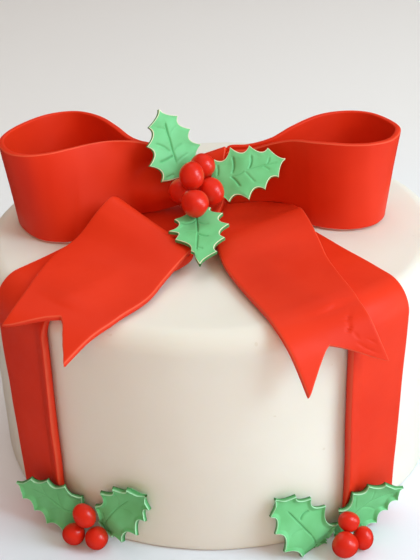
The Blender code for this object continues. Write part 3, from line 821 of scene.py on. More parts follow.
# %% Lowest heights
RIBBON_MARGIN = 1.8


def ribbon_cover(x, y, reach, slope):
    """1 over a ribbon and 0 beside it. It is 0 from `reach` mm past the ribbon's edge, and
    eases to 1 over a width of `slope`."""
    cover = 0.0
    for ribbon in (RIGHT_RIBBON, LEFT_RIBBON):
        across = plan_ways(ribbon["heading"])[1]
        left, right = ribbon["top"]
        away = np.abs(across[0] * x + across[1] * y - (left + right) / 2.0)
        cover = np.maximum(cover, ease(((right - left) / 2.0 + reach - away) / slope))
    return cover


def height_over(x, y, clear, slope=RIBBON_MARGIN):
    """Lowest height that keeps clear of the icing, and of a ribbon where one lies: on the
    shoulder it is a quarter circle of the shoulder's radius plus the clearance. Past the
    margin beside a ribbon it falls over a width of `slope`."""
    cover = ribbon_cover(x, y, RIBBON_MARGIN + slope, slope)
    outwards = np.clip(np.hypot(x, y) - FLAT_RADIUS, 0.0, SHOULDER_RADIUS)
    around = SHOULDER_RADIUS + clear + (RIBBON_THICKNESS + GAP) * cover
    return SIDE_HEIGHT + np.sqrt(around**2 - outwards**2)


def soft_larger(first, second, blend):
    """The larger of two heights, with a rounded corner where they cross: half of the sum and
    the root of their difference squared plus the blend squared."""
    return 0.5 * (first + second + np.sqrt((first - second) ** 2 + blend**2))


lowest = [height_over(60.0, 20.0, GAP), height_over(20.0, -40.0, GAP)]
print("lowest height on icing and on a ribbon:", np.round(lowest, 1))

# %% [markdown]
# ## Bending a loop
#
# Between its foot line and its rim line a loop's wall is straight, as rolled paste is across
# its width. Fingers left dents and bulges in the left loop's front, near the gather. They
# could be sculpted, but a bell curve for each keeps the wall smooth and can be changed.


# %% Place function of a loop
def loop_place(stations, dents):
    """Place function of a loop: u counts stations, and v runs from the foot to the rim. A
    dent is a bell curve of distance and height that pushes the front wall back."""
    feet = [foot for foot, _ in stations]
    rims = [rim for _, rim in stations]

    def place(u, v):
        foot = through(feet, u)
        foot[..., 2] = soft_larger(foot[..., 2], height_over(foot[..., 0], foot[..., 1], 1.5 * GAP), 0.3)
        rim = through(rims, u)
        spot = foot + (rim - foot) * v[..., None]
        front = ease((len(stations) / 2.0 - u) / 1.5)
        for x, z, depth, reach in dents:
            near = np.exp(-((spot[..., 0] - x) ** 2 + (spot[..., 2] - z) ** 2) / reach**2)
            spot[..., 1] += depth * near * front
        return spot

    return place


print("dents in the left loop:", len(LOOP_LEFT_DENTS))

# %% [markdown]
# ## The finished loops
#
# Each loop becomes one sheet with rounded rims. Even rows from station to station would do
# for the walls, but not for the ends, which the gather shows. So its length is measured along
# the middle of the wall, and the rows crowd at the ends and stay even between them.

# %% Make the loops
BOW_THICKNESS = 2.4
BOW_ROUNDING = 0.6
LOOP_RELIEF = 0.14


def make_loop(name, stations, dents, node, rows=300, columns=60, seed=11):
    """Bend one loop, with rounded rims and the slight waves of soft paste in its walls: u is
    the distance along over the loop's length, times the number of the last station."""
    place = loop_place(stations, dents)
    last = len(stations) - 1.0
    line = place(np.linspace(0.0, last, 400), np.full(400, 0.5))
    length = np.linalg.norm(np.diff(line, axis=0), axis=1).sum()
    along = spread(length, BOW_ROUNDING, rows).T
    u = along / length * last
    wide = np.linalg.norm(place(u, 0.0 * u + 1.0) - place(u, 0.0 * u), axis=-1)[:, 0]
    across = spread(wide, BOW_ROUNDING, columns)
    v = across / wide[:, None]
    u = u + 0.0 * v
    along = along + 0.0 * v
    edges = [(across, BOW_ROUNDING), (wide[:, None] - across, BOW_ROUNDING)]
    edges += [(along, BOW_ROUNDING), (length - along, BOW_ROUNDING)]
    relief = LOOP_RELIEF * ripple(place(u, v), 30.0, seed)
    facing = np.array([0.0, -1.0, 0.0]) * np.where(u < last / 2.0, 1.0, -1.0)[..., None]
    looks = (RED, node, "red_fondant")
    made = make_sheet(name, place, u, v, (0.01, 0.002), BOW_THICKNESS, edges, facing, looks, relief)
    return made, length


loop_right, right_length = make_loop("loop_right", LOOP_RIGHT, (), "bow_loop_right")
loop_left, left_length = make_loop("loop_left", LOOP_LEFT, LOOP_LEFT_DENTS, "bow_loop_left", seed=12)
print(f"paste in the loops: {right_length:.0f} mm and {left_length:.0f} mm long")

# %% [markdown]
# ## The bow's tails
#
# A tail is a wide strip that is folded under at its inner end, lies over the cake and droops
# over its edge, where it ends in a V. It could be a flat strip bent by an armature, but its
# two long edges are what the eye follows, so it is a loft between two curves.

# %% Edges of the tails
TAIL_LEFT_NEAR = (
    (-19.5, -54.5, 102.2), (-13.4, -49.0, 102.2), (-9.0, -44.0, 103.8), (-8.7, -44.6, 107.6),
    (-12.6, -51.6, 107.0), (-19.0, -62.6, 104.6), (-25.4, -75.6, 103.2), (-35.6, -87.6, 102.4),
    (-45.3, -97.2, 100.4), (-54.6, -106.6, 95.2),
)
TAIL_LEFT_FAR = (
    (-46.0, -29.0, 106.4), (-41.0, -20.0, 106.4), (-36.5, -11.8, 111.0), (-40.8, -18.0, 120.4),
    (-46.4, -24.0, 118.0), (-55.0, -31.4, 109.6), (-64.8, -43.0, 105.8), (-71.8, -67.0, 105.2),
    (-75.8, -79.4, 103.6), (-79.4, -85.0, 100.0),
)
TAIL_RIGHT_NEAR = (
    (-1.4, 2.0, 104.2), (0.2, -22.0, 104.3), (1.4, -35.5, 105.2), (2.4, -44.0, 104.8),
    (4.4, -53.0, 103.8), (8.1, -63.5, 102.9), (12.2, -74.0, 102.4), (17.0, -86.0, 102.2),
    (21.4, -97.0, 101.2), (26.2, -105.3, 95.0), (32.0, -110.6, 80.4),
)
TAIL_RIGHT_FAR = (
    (33.4, 5.0, 105.0), (37.0, -10.5, 109.0), (38.0, -19.5, 112.3), (40.4, -29.5, 111.2),
    (43.2, -41.0, 107.8), (45.0, -52.0, 105.8), (47.6, -64.0, 105.6), (51.0, -77.0, 105.4),
    (56.0, -89.5, 101.8), (59.8, -94.0, 93.8), (63.4, -93.4, 84.4),
)
print("points along the tails:", len(TAIL_LEFT_NEAR), "and", len(TAIL_RIGHT_NEAR))

# %% [markdown]
# ## The V cuts and the creases
#
# Each V is cut by ending every thread of the strip earlier, the nearer it lies to the notch.
# A table holds that, because a hand with a knife doesn't cut two straight lines. The right
# tail was handled while it was setting, and keeps creases near its outer tip.

# %% Notches and creases
# Each V as pairs: share across, and how many points earlier the thread there ends
NOTCH_LEFT = (
    (0.0, 0.0), (0.1, 0.31), (0.2, 0.54), (0.3, 0.81), (0.4, 1.16), (0.47, 1.34),
    (0.5, 1.30), (0.6, 1.11), (0.7, 0.86), (0.8, 0.61), (0.9, 0.33), (1.0, 0.05),
)
NOTCH_RIGHT = (
    (0.0, 0.0), (0.1, 0.28), (0.2, 0.52), (0.3, 0.76), (0.4, 1.02), (0.44, 1.11),
    (0.54, 0.99), (0.63, 0.86), (0.72, 0.71), (0.81, 0.53), (0.91, 0.3), (1.0, 0.0),
)
# Creases of the right tail: start and end, each counted along in points and as a share
# across, then depth and half width in mm
TAIL_RIGHT_CREASES = (
    ((7.70, 0.862), (7.93, 0.80), 0.26, 0.5),
    ((7.93, 0.80), (8.12, 0.75), 0.85, 0.42),
    ((8.12, 0.75), (8.32, 0.738), 0.7, 0.42),
    ((8.32, 0.738), (8.52, 0.688), 0.9, 0.42),
    ((8.02, 0.70), (8.14, 0.742), 0.28, 0.38),
    ((8.57, 0.763), (8.78, 0.763), 0.32, 0.38),
    ((7.68, 0.638), (7.45, 0.738), 0.22, 0.7),
    ((7.45, 0.738), (7.42, 0.86), 0.2, 0.7),
    ((8.98, 0.75), (9.18, 0.80), 0.2, 0.5),
    ((9.18, 0.80), (9.35, 0.89), 0.24, 0.5),
    ((8.88, 0.875), (9.07, 0.925), 0.18, 0.45),
)
print("creases in the right tail:", len(TAIL_RIGHT_CREASES))

# %% [markdown]
# ## Lofting a tail
#
# Threads run straight from the near edge to the far edge. Where such a thread would sink into
# a ribbon or the icing it is lifted. A Shrinkwrap modifier would do that in a sharp step, but
# rolled paste is too stiff for one, so the lift has a wide slope. Past the cake's edge the
# tail hangs free.

# %% Place function of a tail
TAIL_SLOPE = 22.0


def tail_place(near, far):
    """Place function of a tail: from its near edge to its far edge by v, both read at u,
    and lifted where it would sink into a ribbon or the icing."""

    def place(u, v):
        spot = through(near, u)
        spot = spot + (through(far, u) - spot) * v[..., None]
        clear = 1.5 * GAP + BOW_THICKNESS / 2.0
        floor = height_over(spot[..., 0], spot[..., 1], clear, TAIL_SLOPE)
        on_top = ease((CAKE_RADIUS - 1.0 - np.hypot(spot[..., 0], spot[..., 1])) / 3.0)
        lifted = soft_larger(spot[..., 2], floor, 1.0)
        spot[..., 2] += (lifted - spot[..., 2]) * on_top
        return spot

    return place


tip = tail_place(TAIL_RIGHT_NEAR, TAIL_RIGHT_FAR)(np.array([10.0]), np.array([0.0]))[0]
print("the right tail's inner tip hangs at height", round(float(tip[2]), 1), "mm")

# %% [markdown]
# ## Creases and bunched paste
#
# A crease is pressed into the front along a short line. Inside the left tail's fold, paste
# bunched up at the near edge, in small pleats. Both could be sculpted, but as bell curves of
# a distance they take two short functions and can be moved.


# %% Creases and the bunch
BUNCH_DEPTH = 2.8
BUNCH_WIDTH = 0.16
PLEAT_DEPTH = 0.22
PLEAT_TURNS = 19.0


def crease_depth(place, u, v, creases):
    """Depth pressed by creases: each is a bell curve of the distance to a straight segment,
    whose ends are places on the tail, and it fades towards both ends."""
    spots = place(u, v)
    pressed = np.zeros_like(u)
    for (u_start, v_start), (u_end, v_end), depth, wide in creases:
        start = place(np.array([u_start]), np.array([v_start]))[0]
        run = place(np.array([u_end]), np.array([v_end]))[0] - start
        share = np.clip(((spots - start) @ run) / (run @ run), 0.0, 1.0)
        off = np.linalg.norm(spots - start - share[..., None] * run, axis=-1)
        fade = 0.5 + 0.5 * np.sin(np.pi * share)
        pressed = np.maximum(pressed, depth * np.exp(-((off / wide) ** 2)) * fade)
    return pressed


def fold_bunch(u, v):
    """Paste that bunched up inside the left tail's fold, at its near edge: a bell curve of
    the share across, eased in at the start and out at the fold, times 1 plus a sine for the
    pleats."""
    pleats = 1.0 + PLEAT_DEPTH * np.sin(PLEAT_TURNS * u + 2.0)
    across = BUNCH_DEPTH * np.exp(-((v / BUNCH_WIDTH) ** 2))
    return across * ease((2.5 - u) / 1.1) * ease((u + 0.2) / 0.6) * pleats


print("bunched paste at the fold:", np.round(fold_bunch(np.array([1.0]), np.array([0.0])), 1), "mm")

# %% [markdown]
# ## The finished tails
#
# The strip's ends follow the table of the V, and one thread lies exactly at its inner corner,
# so the corner stays sharp. A Boolean would cut the V as well, but leave its walls without
# the rounding that all the other edges have.

# %% Make the tails
TAIL_ROUNDING = 0.8
TAIL_RELIEF = 0.12
# Share of the distance along a thread that counts towards a slanting cut
CUT_SLOPE = 0.7


def make_tail(
    name, near, far, notch, creases, node, bunch=None, rows=300, columns=48, seed=21,
):
    """Loft one tail and cut its V: each thread ends at the last point less the cut that the
    notch's table gives for its share across, and one thread lies at the V's inner corner."""
    place = tail_place(near, far)
    last = len(near) - 1.0
    steady = last - 3.0
    middle = place(np.linspace(0.0, last, 300), np.full(300, 0.5))
    length = np.linalg.norm(np.diff(middle, axis=0), axis=1).sum()
    along = spread(length, BOW_ROUNDING, rows).T / length * last
    width = np.linalg.norm(np.subtract(near[4], far[4]))
    rim = spread(width, BOW_ROUNDING, columns)[0] / width
    shares, cuts = np.array(notch).T
    at = shares[cuts.argmax()]
    v = np.where(rim <= 0.5, rim * 2.0 * at, 1.0 - (1.0 - rim) * 2.0 * (1.0 - at))[None, :]
    end = last - np.interp(v, shares, cuts)
    u = np.where(along <= steady, along, steady + (along - steady) * (end - steady) / (last - steady))
    v = v + 0.0 * u
    wide = np.linalg.norm(place(u, 0.0 * u + 1.0) - place(u, 0.0 * u), axis=-1)
    step = length / last
    edges = [(v * wide, TAIL_ROUNDING), ((1.0 - v) * wide, TAIL_ROUNDING)]
    edges += [(u * step, BOW_ROUNDING), ((end - u) * step * CUT_SLOPE, BOW_ROUNDING)]
    relief = TAIL_RELIEF * ripple(place(u, v), 34.0, seed) - crease_depth(place, u, v, creases)
    facing = np.array([0.0, -0.2, 1.0]) * np.where(u > 2.2, 1.0, -1.0)[..., None]
    looks = (RED, node, "red_fondant")
    under = bunch(u, v) if bunch else 0.0
    return make_sheet(
        name, place, u, v, (0.01, 0.002), BOW_THICKNESS, edges, facing, looks, relief, under
    )


tail_left = make_tail(
    "tail_left", TAIL_LEFT_NEAR, TAIL_LEFT_FAR, NOTCH_LEFT, (), "bow_tail_left", fold_bunch
)
tail_right = make_tail(
    "tail_right", TAIL_RIGHT_NEAR, TAIL_RIGHT_FAR, NOTCH_RIGHT, TAIL_RIGHT_CREASES, "bow_tail_right",
    seed=22,
)
print("tail vertices:", len(tail_left.data.vertices), len(tail_right.data.vertices))

# %% [markdown]
# ## The strap round the gather
#
# A short strip hides where the loops meet. It comes up the back, over the gather and down the
# front, and its end lies on the cake between the two tails, where it shows under the front
# leaf. A bent plane could stand for it, but its width and its tilt change all the way, so a
# path gives them together.

# %% Path of the strap
# From the back foot over the gather to the front end: distance back, height, middle in x
# and half width
STRAP_PATH = (
    (21.5, 105.8, 0.0, 6.6), (20.5, 113.5, 0.0, 6.6), (16.0, 122.5, 0.1, 6.3),
    (8.2, 127.9, 0.55, 6.85), (4.0, 124.0, -0.1, 6.0), (3.6, 118.0, -0.3, 6.4),
    (1.4, 112.8, -0.8, 7.0), (-6.0, 110.4, -2.2, 7.4), (-16.0, 109.4, -4.4, 7.0),
    (-25.0, 107.8, -6.0, 6.2), (-30.0, 105.4, -6.8, 5.4), (-31.5, 102.4, -7.0, 5.0),
)
# Rise of the strap's right edge over its middle at the gather, for each mm across
STRAP_TILT = 0.33


def strap_place(u, v):
    """Place on the strap: the path gives distance back, height, middle and half width, and v
    runs from its right edge to its left. Over the gather the right edge is pulled up."""
    path = through([row[:3] for row in STRAP_PATH], u)
    half = through([(row[3], 0.0, 0.0) for row in STRAP_PATH], u)[..., 0]
    across = half * (1.0 - 2.0 * v)
    raised = STRAP_TILT * across * np.exp(-(((u - 3.0) / 1.1) ** 2))
    return np.stack([path[..., 2] + across, path[..., 0], path[..., 1] + raised], axis=-1)


print("top of the gather:", np.round(strap_place(np.array([3.0]), np.array([0.5]))[0], 1))

# %% [markdown]
# ## Wrapping the strap
#
# The strap is pulled together where it comes forward, which leaves lengthwise folds. They
# could come from a cloth simulation, but a cosine across the strip that grows towards its
# front end is enough for folds this shallow.

# %% Wrap the strap
STRAP_FOLDS = 2.5
STRAP_FOLD_DEPTH = 0.35


def make_strap(rows=150, columns=40):
    """Wrap the strap, with folds that deepen towards its front end: the fold depth times the
    cosine of 2 pi times the number of folds times the share from the middle."""
    last = len(STRAP_PATH) - 1.0
    length = np.linalg.norm(np.diff(np.array(STRAP_PATH)[:, :2], axis=0), axis=1).sum()
    along = spread(length, BOW_ROUNDING, rows).T
    width = 2.0 * np.mean([row[3] for row in STRAP_PATH])
    v = spread(width, BOW_ROUNDING, columns) / width
    u = along / length * last + 0.0 * v
    v = v + 0.0 * u
    edges = [(v * width, BOW_ROUNDING), ((1.0 - v) * width, BOW_ROUNDING)]
    edges += [(along + 0.0 * u, BOW_ROUNDING), (length - along + 0.0 * u, BOW_ROUNDING)]
    folds = STRAP_FOLD_DEPTH * np.cos(2.0 * np.pi * STRAP_FOLDS * (v - 0.5)) * ease((u - 4.0) / 4.0)
    facing = np.stack([0.0 * u, np.where(u < 2.0, 1.0, -0.4), np.where(u > 2.0, 1.0, 0.2)], -1)
    looks = (RED, "bow_centre", "red_fondant")
    return make_sheet("strap", strap_place, u, v, (0.01, 0.002), BOW_THICKNESS, edges, facing, looks, folds)


strap = make_strap()
print("strap vertices:", len(strap.data.vertices))

# %% [markdown]
# ## Holly leaves
#
# All the leaves come from one cutter: five spines a side with hollow scallops between them.
# A traced outline could be filled with faces, but would bend badly. So there is one flat
# leaf, of two parameters, and each leaf on the cake bends it in its own way. A scallop is a
# parabola between two spines, which keeps the spines sharp.

# %% Outline of a leaf
LEAF_LENGTH = 36.0
LEAF_THICKNESS = 1.4
# Each spine: how far along and how far out, as shares of the length
LEAF_SPINES = ((0.05, 0.16), (0.20, 0.31), (0.43, 0.38), (0.65, 0.32), (0.85, 0.215))
LEAF_SCALLOPS = (0.03, 0.07, 0.09, 0.09, 0.075, 0.045)
LEAF_STEM = 0.03
LEAF_POINT = 0.012
STEPS_PER_SPINE = 24


def leaf_half_width(along):
    """Half width as a share of the length: straight from spine to spine, less a parabola of
    the scallop's depth, 4 s t (1 - t)."""
    knots = np.array([(0.0, LEAF_STEM), *LEAF_SPINES, (1.0, LEAF_POINT)])
    part = np.clip(np.searchsorted(knots[:, 0], along, side="right") - 1, 0, len(LEAF_SCALLOPS) - 1)
    start = knots[part, 0]
    t = (along - start) / (knots[part + 1, 0] - start)
    straight = np.interp(along, knots[:, 0], knots[:, 1])
    return straight - 4.0 * np.array(LEAF_SCALLOPS)[part] * t * (1.0 - t)


def leaf_rows(first):
    """Stations along a leaf: even steps from spine to spine, so that each spine is a row,
    from the first station that isn't hidden."""
    knots = [0.0, *(spine for spine, _ in LEAF_SPINES), 1.0]
    steps = np.linspace(0.0, 1.0, STEPS_PER_SPINE, endpoint=False)
    rows = np.concatenate([a + (b - a) * steps for a, b in zip(knots, knots[1:])] + [[1.0]])
    return np.concatenate([[first], rows[rows > first + 1e-6]])


widest = float(leaf_half_width(np.linspace(0.0, 1.0, 200)).max() * LEAF_LENGTH)
print("widest half of the leaf:", round(widest, 1), "mm")

# %% [markdown]
# ## Pressing the veins
#
# A midrib and side veins are pressed in with a stamp or the back of a knife, and no two
# leaves are alike. A bump could hint at them, but light from the side shows their depth, so
# they are in the mesh: a bell curve across each line, on a grid fine enough to hold it.

# %% Veins
VEIN_WIDTH = 0.4
VEIN_DEPTH = 0.6


def vein_mark(p, q, veins):
    """1 on a vein's line and 0 away from it, times its strength. A vein is the curve
    (1 - t) squared times its start, 2 t (1 - t) times its bend and t squared times its end,
    in mm along and out, and the mark is a bell curve of the distance to it."""
    mark = np.zeros_like(p)
    for start, bend, end, strength in veins:
        start, bend, end = (np.array(place, float) for place in (start, bend, end))
        steps = int(np.linalg.norm(bend - start) + np.linalg.norm(end - bend)) * 5 + 5
        t = np.linspace(0.0, 1.0, steps)[:, None]
        line = (1.0 - t) ** 2 * start + 2.0 * t * (1.0 - t) * bend + t**2 * end
        away = np.hypot(p[..., None] - line[:, 0], q[..., None] - line[:, 1])
        nearest = away.argmin(axis=-1)
        fade = ease(np.minimum(nearest, steps - 1 - nearest) / (0.15 * steps) + 0.25)
        bell = np.exp(-((away.min(axis=-1) / VEIN_WIDTH) ** 2))
        mark = np.maximum(mark, strength * fade * bell)
    return mark


print("a vein is", VEIN_DEPTH, "mm deep and", 2.0 * VEIN_WIDTH, "mm wide")

# %% [markdown]
# ## The flat leaf
#
# The grid runs from the stem to the tip and from one edge to the other. Straight rows would
# point the spines square to the midrib, but real ones lean towards the tip. So the rows sweep
# forward towards the edges, and each spine is the end of a row.

# %% The flat leaf
LEAF_SWEEP = 0.05
LEAF_COLUMNS = 96


def flat_leaf(first):
    """Grids of the flat leaf, in mm: distance along, distance out and distance to the edge.
    The distance out is the half width times a share across from -1 to 1, and the distance
    along is swept forward by the sweep times that share squared."""
    along = leaf_rows(first)[:, None]
    half = leaf_half_width(along)
    across = spread(2.0, 0.08, LEAF_COLUMNS) - 1.0
    swept = along + LEAF_SWEEP * across**2 * (1.0 - along)
    edge = LEAF_LENGTH * half * (1.0 - np.abs(across))
    return LEAF_LENGTH * swept, LEAF_LENGTH * half * across, edge


print("rows and columns of a leaf:", flat_leaf(0.0)[0].shape)

# %% [markdown]
# ## Leaves on the bow
#
# Three leaves stand or lie on the bow. The veins of each are listed first, as they were
# pressed. They could be drawn by a rule from midrib to spine, but real ones stray from it.

# %% Veins of the bow's leaves
# Each vein: start, bend and end in mm along and out, and its strength
LEAF_1_VEINS = (
    ((30.5, 0.6), (24.3, 0.0), (12.5, -0.7), 1.0),
    ((23.8, -7.4), (22.2, -3.6), (18.5, -1.8), 0.55),
    ((16.3, -8.2), (16.0, -4.7), (16.6, -0.7), 0.9),
    ((9.8, -8.3), (9.3, -5.9), (9.7, -3.8), 0.6),
    ((17.8, -0.4), (19.6, 1.8), (19.5, 5.2), 0.45),
    ((13.5, -0.5), (15.0, 2.7), (15.2, 6.2), 0.4),
    ((24.5, 0.2), (26.6, 2.3), (27.2, 5.1), 0.35),
    ((27.2, 0.1), (29.0, -1.5), (29.6, -4.2), 0.35),
)
LEAF_2_VEINS = (
    ((16.0, 9.3), (16.2, 5.0), (13.6, 1.5), 1.0),
    ((12.8, 0.4), (14.3, -2.0), (14.8, -6.0), 1.0),
    ((23.3, 6.8), (23.1, 3.2), (20.6, 0.8), 0.9),
    ((12.7, 0.4), (15.8, -0.9), (18.8, 0.6), 0.5),
    ((18.8, 0.6), (24.9, 0.4), (33.0, -0.6), 0.45),
    ((18.8, 0.4), (19.9, -3.0), (21.2, -6.4), 0.5),
    ((29.8, 2.8), (29.6, 1.2), (28.3, 0.2), 0.55),
    ((26.4, -0.2), (27.6, -1.4), (28.4, -3.0), 0.45),
    ((9.2, 8.0), (8.8, 5.2), (7.6, 2.8), 0.85),
)
LEAF_3_VEINS = (
    ((7.0, -1.2), (13.0, -0.6), (18.6, -0.6), 1.0),
    ((18.4, -0.6), (22.5, -0.8), (29.0, -1.4), 0.8),
    ((10.0, -1.2), (13.2, -3.8), (11.0, -8.6), 0.75),
    ((10.6, -0.9), (13.4, 0.8), (14.0, 4.6), 0.55),
    ((19.0, -0.5), (20.6, 1.0), (21.4, 4.4), 0.8),
    ((26.6, -1.1), (27.4, 0.0), (28.0, 1.6), 0.5),
    ((18.0, -0.7), (20.0, -3.4), (19.4, -7.0), 0.35),
)
print("veins on the bow's leaves:", len(LEAF_1_VEINS + LEAF_2_VEINS + LEAF_3_VEINS))

# %% [markdown]
# ## Setting the bow's leaves
#
# Each leaf is set by its base, its tip and a point on its right side, which fixes how it
# faces. It could be turned with an object's rotation, but then its finish would turn too. A
# bend lifts the middle of its length and a cup lifts its edges, as in a leaf that dried in a
# spoon. The front leaf was pushed together on one side by the fold that it leans on.

# %% Place function of a bow's leaf
BOW_LEAVES = (
    {
        "base": (-9.2, -7.7, 117.1), "tip": (-20.7, 2.5, 151.1), "right": (-5.8, 5.1, 135.0),
        "bend": -0.6, "cup": 0.4, "width": 1.04, "first": 0.20, "skew": 0.0, "thick": 1.4,
        "tuck": 0.0, "veins": LEAF_1_VEINS,
    },
    {
        "base": (-3.4, -10.7, 119.8), "tip": (31.6, -7.3, 130.7), "right": (10.7, -1.4, 133.9),
        "bend": 2.1, "cup": 2.1, "width": 0.9, "first": 0.12, "skew": 0.0, "thick": 1.4,
        "tuck": 0.0, "veins": LEAF_2_VEINS,
    },
    {
        "base": (-5.4, -22.3, 117.4), "tip": (-5.4, -56.0, 107.5), "right": (6.7, -37.3, 113.0),
        "bend": 1.0, "cup": 1.4, "width": 0.9, "first": 0.0, "skew": -0.14, "thick": 1.8,
        "tuck": 1.0, "veins": LEAF_3_VEINS,
    },
)


def bow_leaf_place(leaf):
    """Place function of a leaf on the bow: its base plus u along it, v out to its right and
    a lift along its face of bend * sin(pi u / length) + cup * (2 v / length) squared. A
    tucked leaf was pushed together on its left side by the fold it leans on: from 14 mm
    along it is drawn back by up to 3 mm, and from 22 mm narrowed by up to half."""
    base, tip, right = (np.array(leaf[key]) for key in ("base", "tip", "right"))
    length = np.linalg.norm(tip - base)
    ahead = (tip - base) / length
    side = right - base
    side -= ahead * (side @ ahead)
    side /= np.linalg.norm(side)
    face = np.cross(ahead, side)
    face *= -np.sign(face[1])

    def place(u, v):
        tucked = leaf["tuck"] * ease(-v / 5.0)
        p = u * length / LEAF_LENGTH + leaf["skew"] * v - 3.0 * tucked * ease((u - 14.0) / 8.0)
        q = v * leaf["width"] * (1.0 - 0.5 * tucked * ease((u - 22.0) / 9.0))
        lift = leaf["bend"] * np.sin(np.pi * p / length) + leaf["cup"] * (2.0 * q / LEAF_LENGTH) ** 2
        return base + ahead * p[..., None] + side * q[..., None] + face * lift[..., None]

    return place, face


print("leaves on the bow:", len(BOW_LEAVES))

# %% [markdown]
# ## Pressing the bow's leaves
#
# A leaf is a thin sheet like the others: veins go down, the paste between them swells a
# little, and on a curled leaf the outermost paste turns up. A mesh for each could be
# sculpted, but one function presses them all, each with a ripple of its own. A hidden end is
# cut straight, where the berries cover it.

# %% Press the bow's leaves
LEAF_ROUNDING = 0.35
LEAF_SWELL = 0.2
CURL_WIDTH = 2.4


def make_leaf(name, place, facing, first, veins, finish, node, seed, thick=LEAF_THICKNESS, curl=0.0):
    """Press one leaf. The relief is the swell times a ripple, less the veins' depth times
    their marks, plus the curl, which eases in over the outermost paste."""
    u, v, edge = flat_leaf(first)
    marks = vein_mark(u, v, veins)
    turned_up = curl * ease(1.0 - edge / CURL_WIDTH) * ease(np.abs(v) / 3.0)
    swell = LEAF_SWELL * ripple(place(u, v), 8.0, seed) * ease(edge / 3.0)
    relief = swell - VEIN_DEPTH * marks + turned_up
    edges = [(edge, LEAF_ROUNDING)]
    if first > 0.0:
        edges.append((u - u.min(axis=0, keepdims=True), LEAF_ROUNDING))
    looks = (finish, node, "holly_fondant")
    return make_sheet(
        name, place, u, v, (0.05, 0.05), thick, edges, facing, looks, relief, under=-turned_up, vein=marks
    )


for number, leaf in enumerate(BOW_LEAVES, start=1):
    place, face = bow_leaf_place(leaf)
    made = make_leaf(
        f"holly_bow_{number}", place, face, leaf["first"], leaf["veins"], CREAM_HIGHLIGHT_HOLLY,
        f"bow_leaf_{number}", 30 + number, leaf["thick"],
    )
    print(made.name, len(made.data.vertices), "vertices")

# %% [markdown]
# ## Leaves at the cake's foot
#
# At each foot of the ribbons a pair of leaves is stuck round the corner between the cake and
# the floor. Most of their veins are weaker than those on the bow. Three points could set them
# too, but on a round side a few measures say more: the angle round the cake and the height of
# the base, the tilt, and how much the tip flares, the low edge leans out, the edges cup and
# the middle arches.

# %% Veins and poses of the foot's leaves
LEFT_RIBBON_VEINS = (
    ((4.0, 0.0), (15.5, 0.6), (31.0, -0.3), 0.45),
    ((13.0, 0.4), (17.5, 2.4), (18.6, 7.0), 0.3),
    ((12.6, 0.4), (17.0, -2.4), (18.0, -6.5), 0.3),
    ((21.5, 0.2), (25.0, 2.0), (26.0, 5.4), 0.3),
    ((21.0, 0.2), (24.6, -2.0), (25.4, -5.2), 0.3),
)
LEFT_ICING_VEINS = (
    ((3.0, 1.8), (12.0, 2.5), (23.0, 1.0), 0.55),
    ((5.0, 4.2), (3.9, 1.0), (3.4, -2.0), 0.75),
    ((8.2, 6.4), (6.6, 3.7), (5.4, 1.0), 0.7),
    ((16.0, 1.9), (19.5, 4.0), (20.4, 7.6), 0.3),
    ((15.0, 1.9), (18.6, -1.4), (19.6, -5.8), 0.3),
)
RIGHT_RIBBON_VEINS = (
    ((6.0, 3.2), (20.0, -0.6), (32.0, -2.3), 0.45),
    ((17.0, 9.4), (15.6, 6.0), (13.2, 3.0), 0.4),
    ((25.4, 5.6), (24.0, 2.6), (21.4, 0.6), 0.3),
    ((15.0, 1.4), (19.0, -2.8), (19.6, -7.0), 0.3),
)
RIGHT_ICING_VEINS = (
    ((26.6, -0.6), (19.5, -0.5), (12.4, 0.0), 0.85),
    ((12.6, 0.0), (9.0, -0.8), (4.0, -1.6), 0.75),
    ((20.0, 6.6), (21.6, 3.4), (20.0, 0.8), 0.95),
    ((9.6, -1.6), (7.4, 0.4), (4.0, 1.2), 0.5),
    ((16.4, -0.3), (18.8, -3.4), (18.4, -7.6), 0.35),
)
LEFT_RIBBON_LEAF = {
    "azimuth": -31.4, "height": 5.6, "tilt": 21.6, "flare": 9.0, "lean": 3.4,
    "cup": 0.5, "arch": 2.2, "width": 0.86, "length": 0.96, "veins": LEFT_RIBBON_VEINS,
}
LEFT_ICING_LEAF = {
    "azimuth": -28.6, "height": 3.6, "tilt": 48.5, "flare": 3.5, "lean": 5.7,
    "cup": 5.0, "arch": 4.3, "width": 0.84, "length": 0.92, "veins": LEFT_ICING_VEINS,
}
RIGHT_RIBBON_LEAF = {
    "azimuth": 25.6, "height": -1.0, "tilt": 31.0, "flare": 11.0, "lean": 1.0,
    "cup": 0.5, "arch": 5.3, "width": 0.88, "length": 0.9, "veins": RIGHT_RIBBON_VEINS,
}
RIGHT_ICING_LEAF = {
    "azimuth": 23.0, "height": -4.0, "tilt": 56.0, "flare": 2.0, "lean": 7.8,
    "cup": 0.5, "arch": 1.2, "width": 0.87, "length": 1.06, "veins": RIGHT_ICING_VEINS,
}
print("the right icing leaf is", round(LEAF_LENGTH * RIGHT_ICING_LEAF["length"], 1), "mm long")

# %% [markdown]
# ## Hugging the cake
#
# A leaf at the foot was pressed round the cake while it was soft. A Curve modifier could bend
# it, but here its length simply runs round the side as an angle, and its radius grows where
# it stands off: at a raised ribbon, a flared tip or a low edge that leans out. What would
# come below the floor lies flat on it.

# %% Place function of a foot's leaf
ARC_RADIUS = 105.0
LEAF_FOOT_CLEAR = 0.5
LEAN_HEIGHT = 26.0
# A leaf starts to rise 7 mm before a ribbon's edge, and is up 5 mm further on
HUG_REACH = 7.0
HUG_SLOPE = 5.0


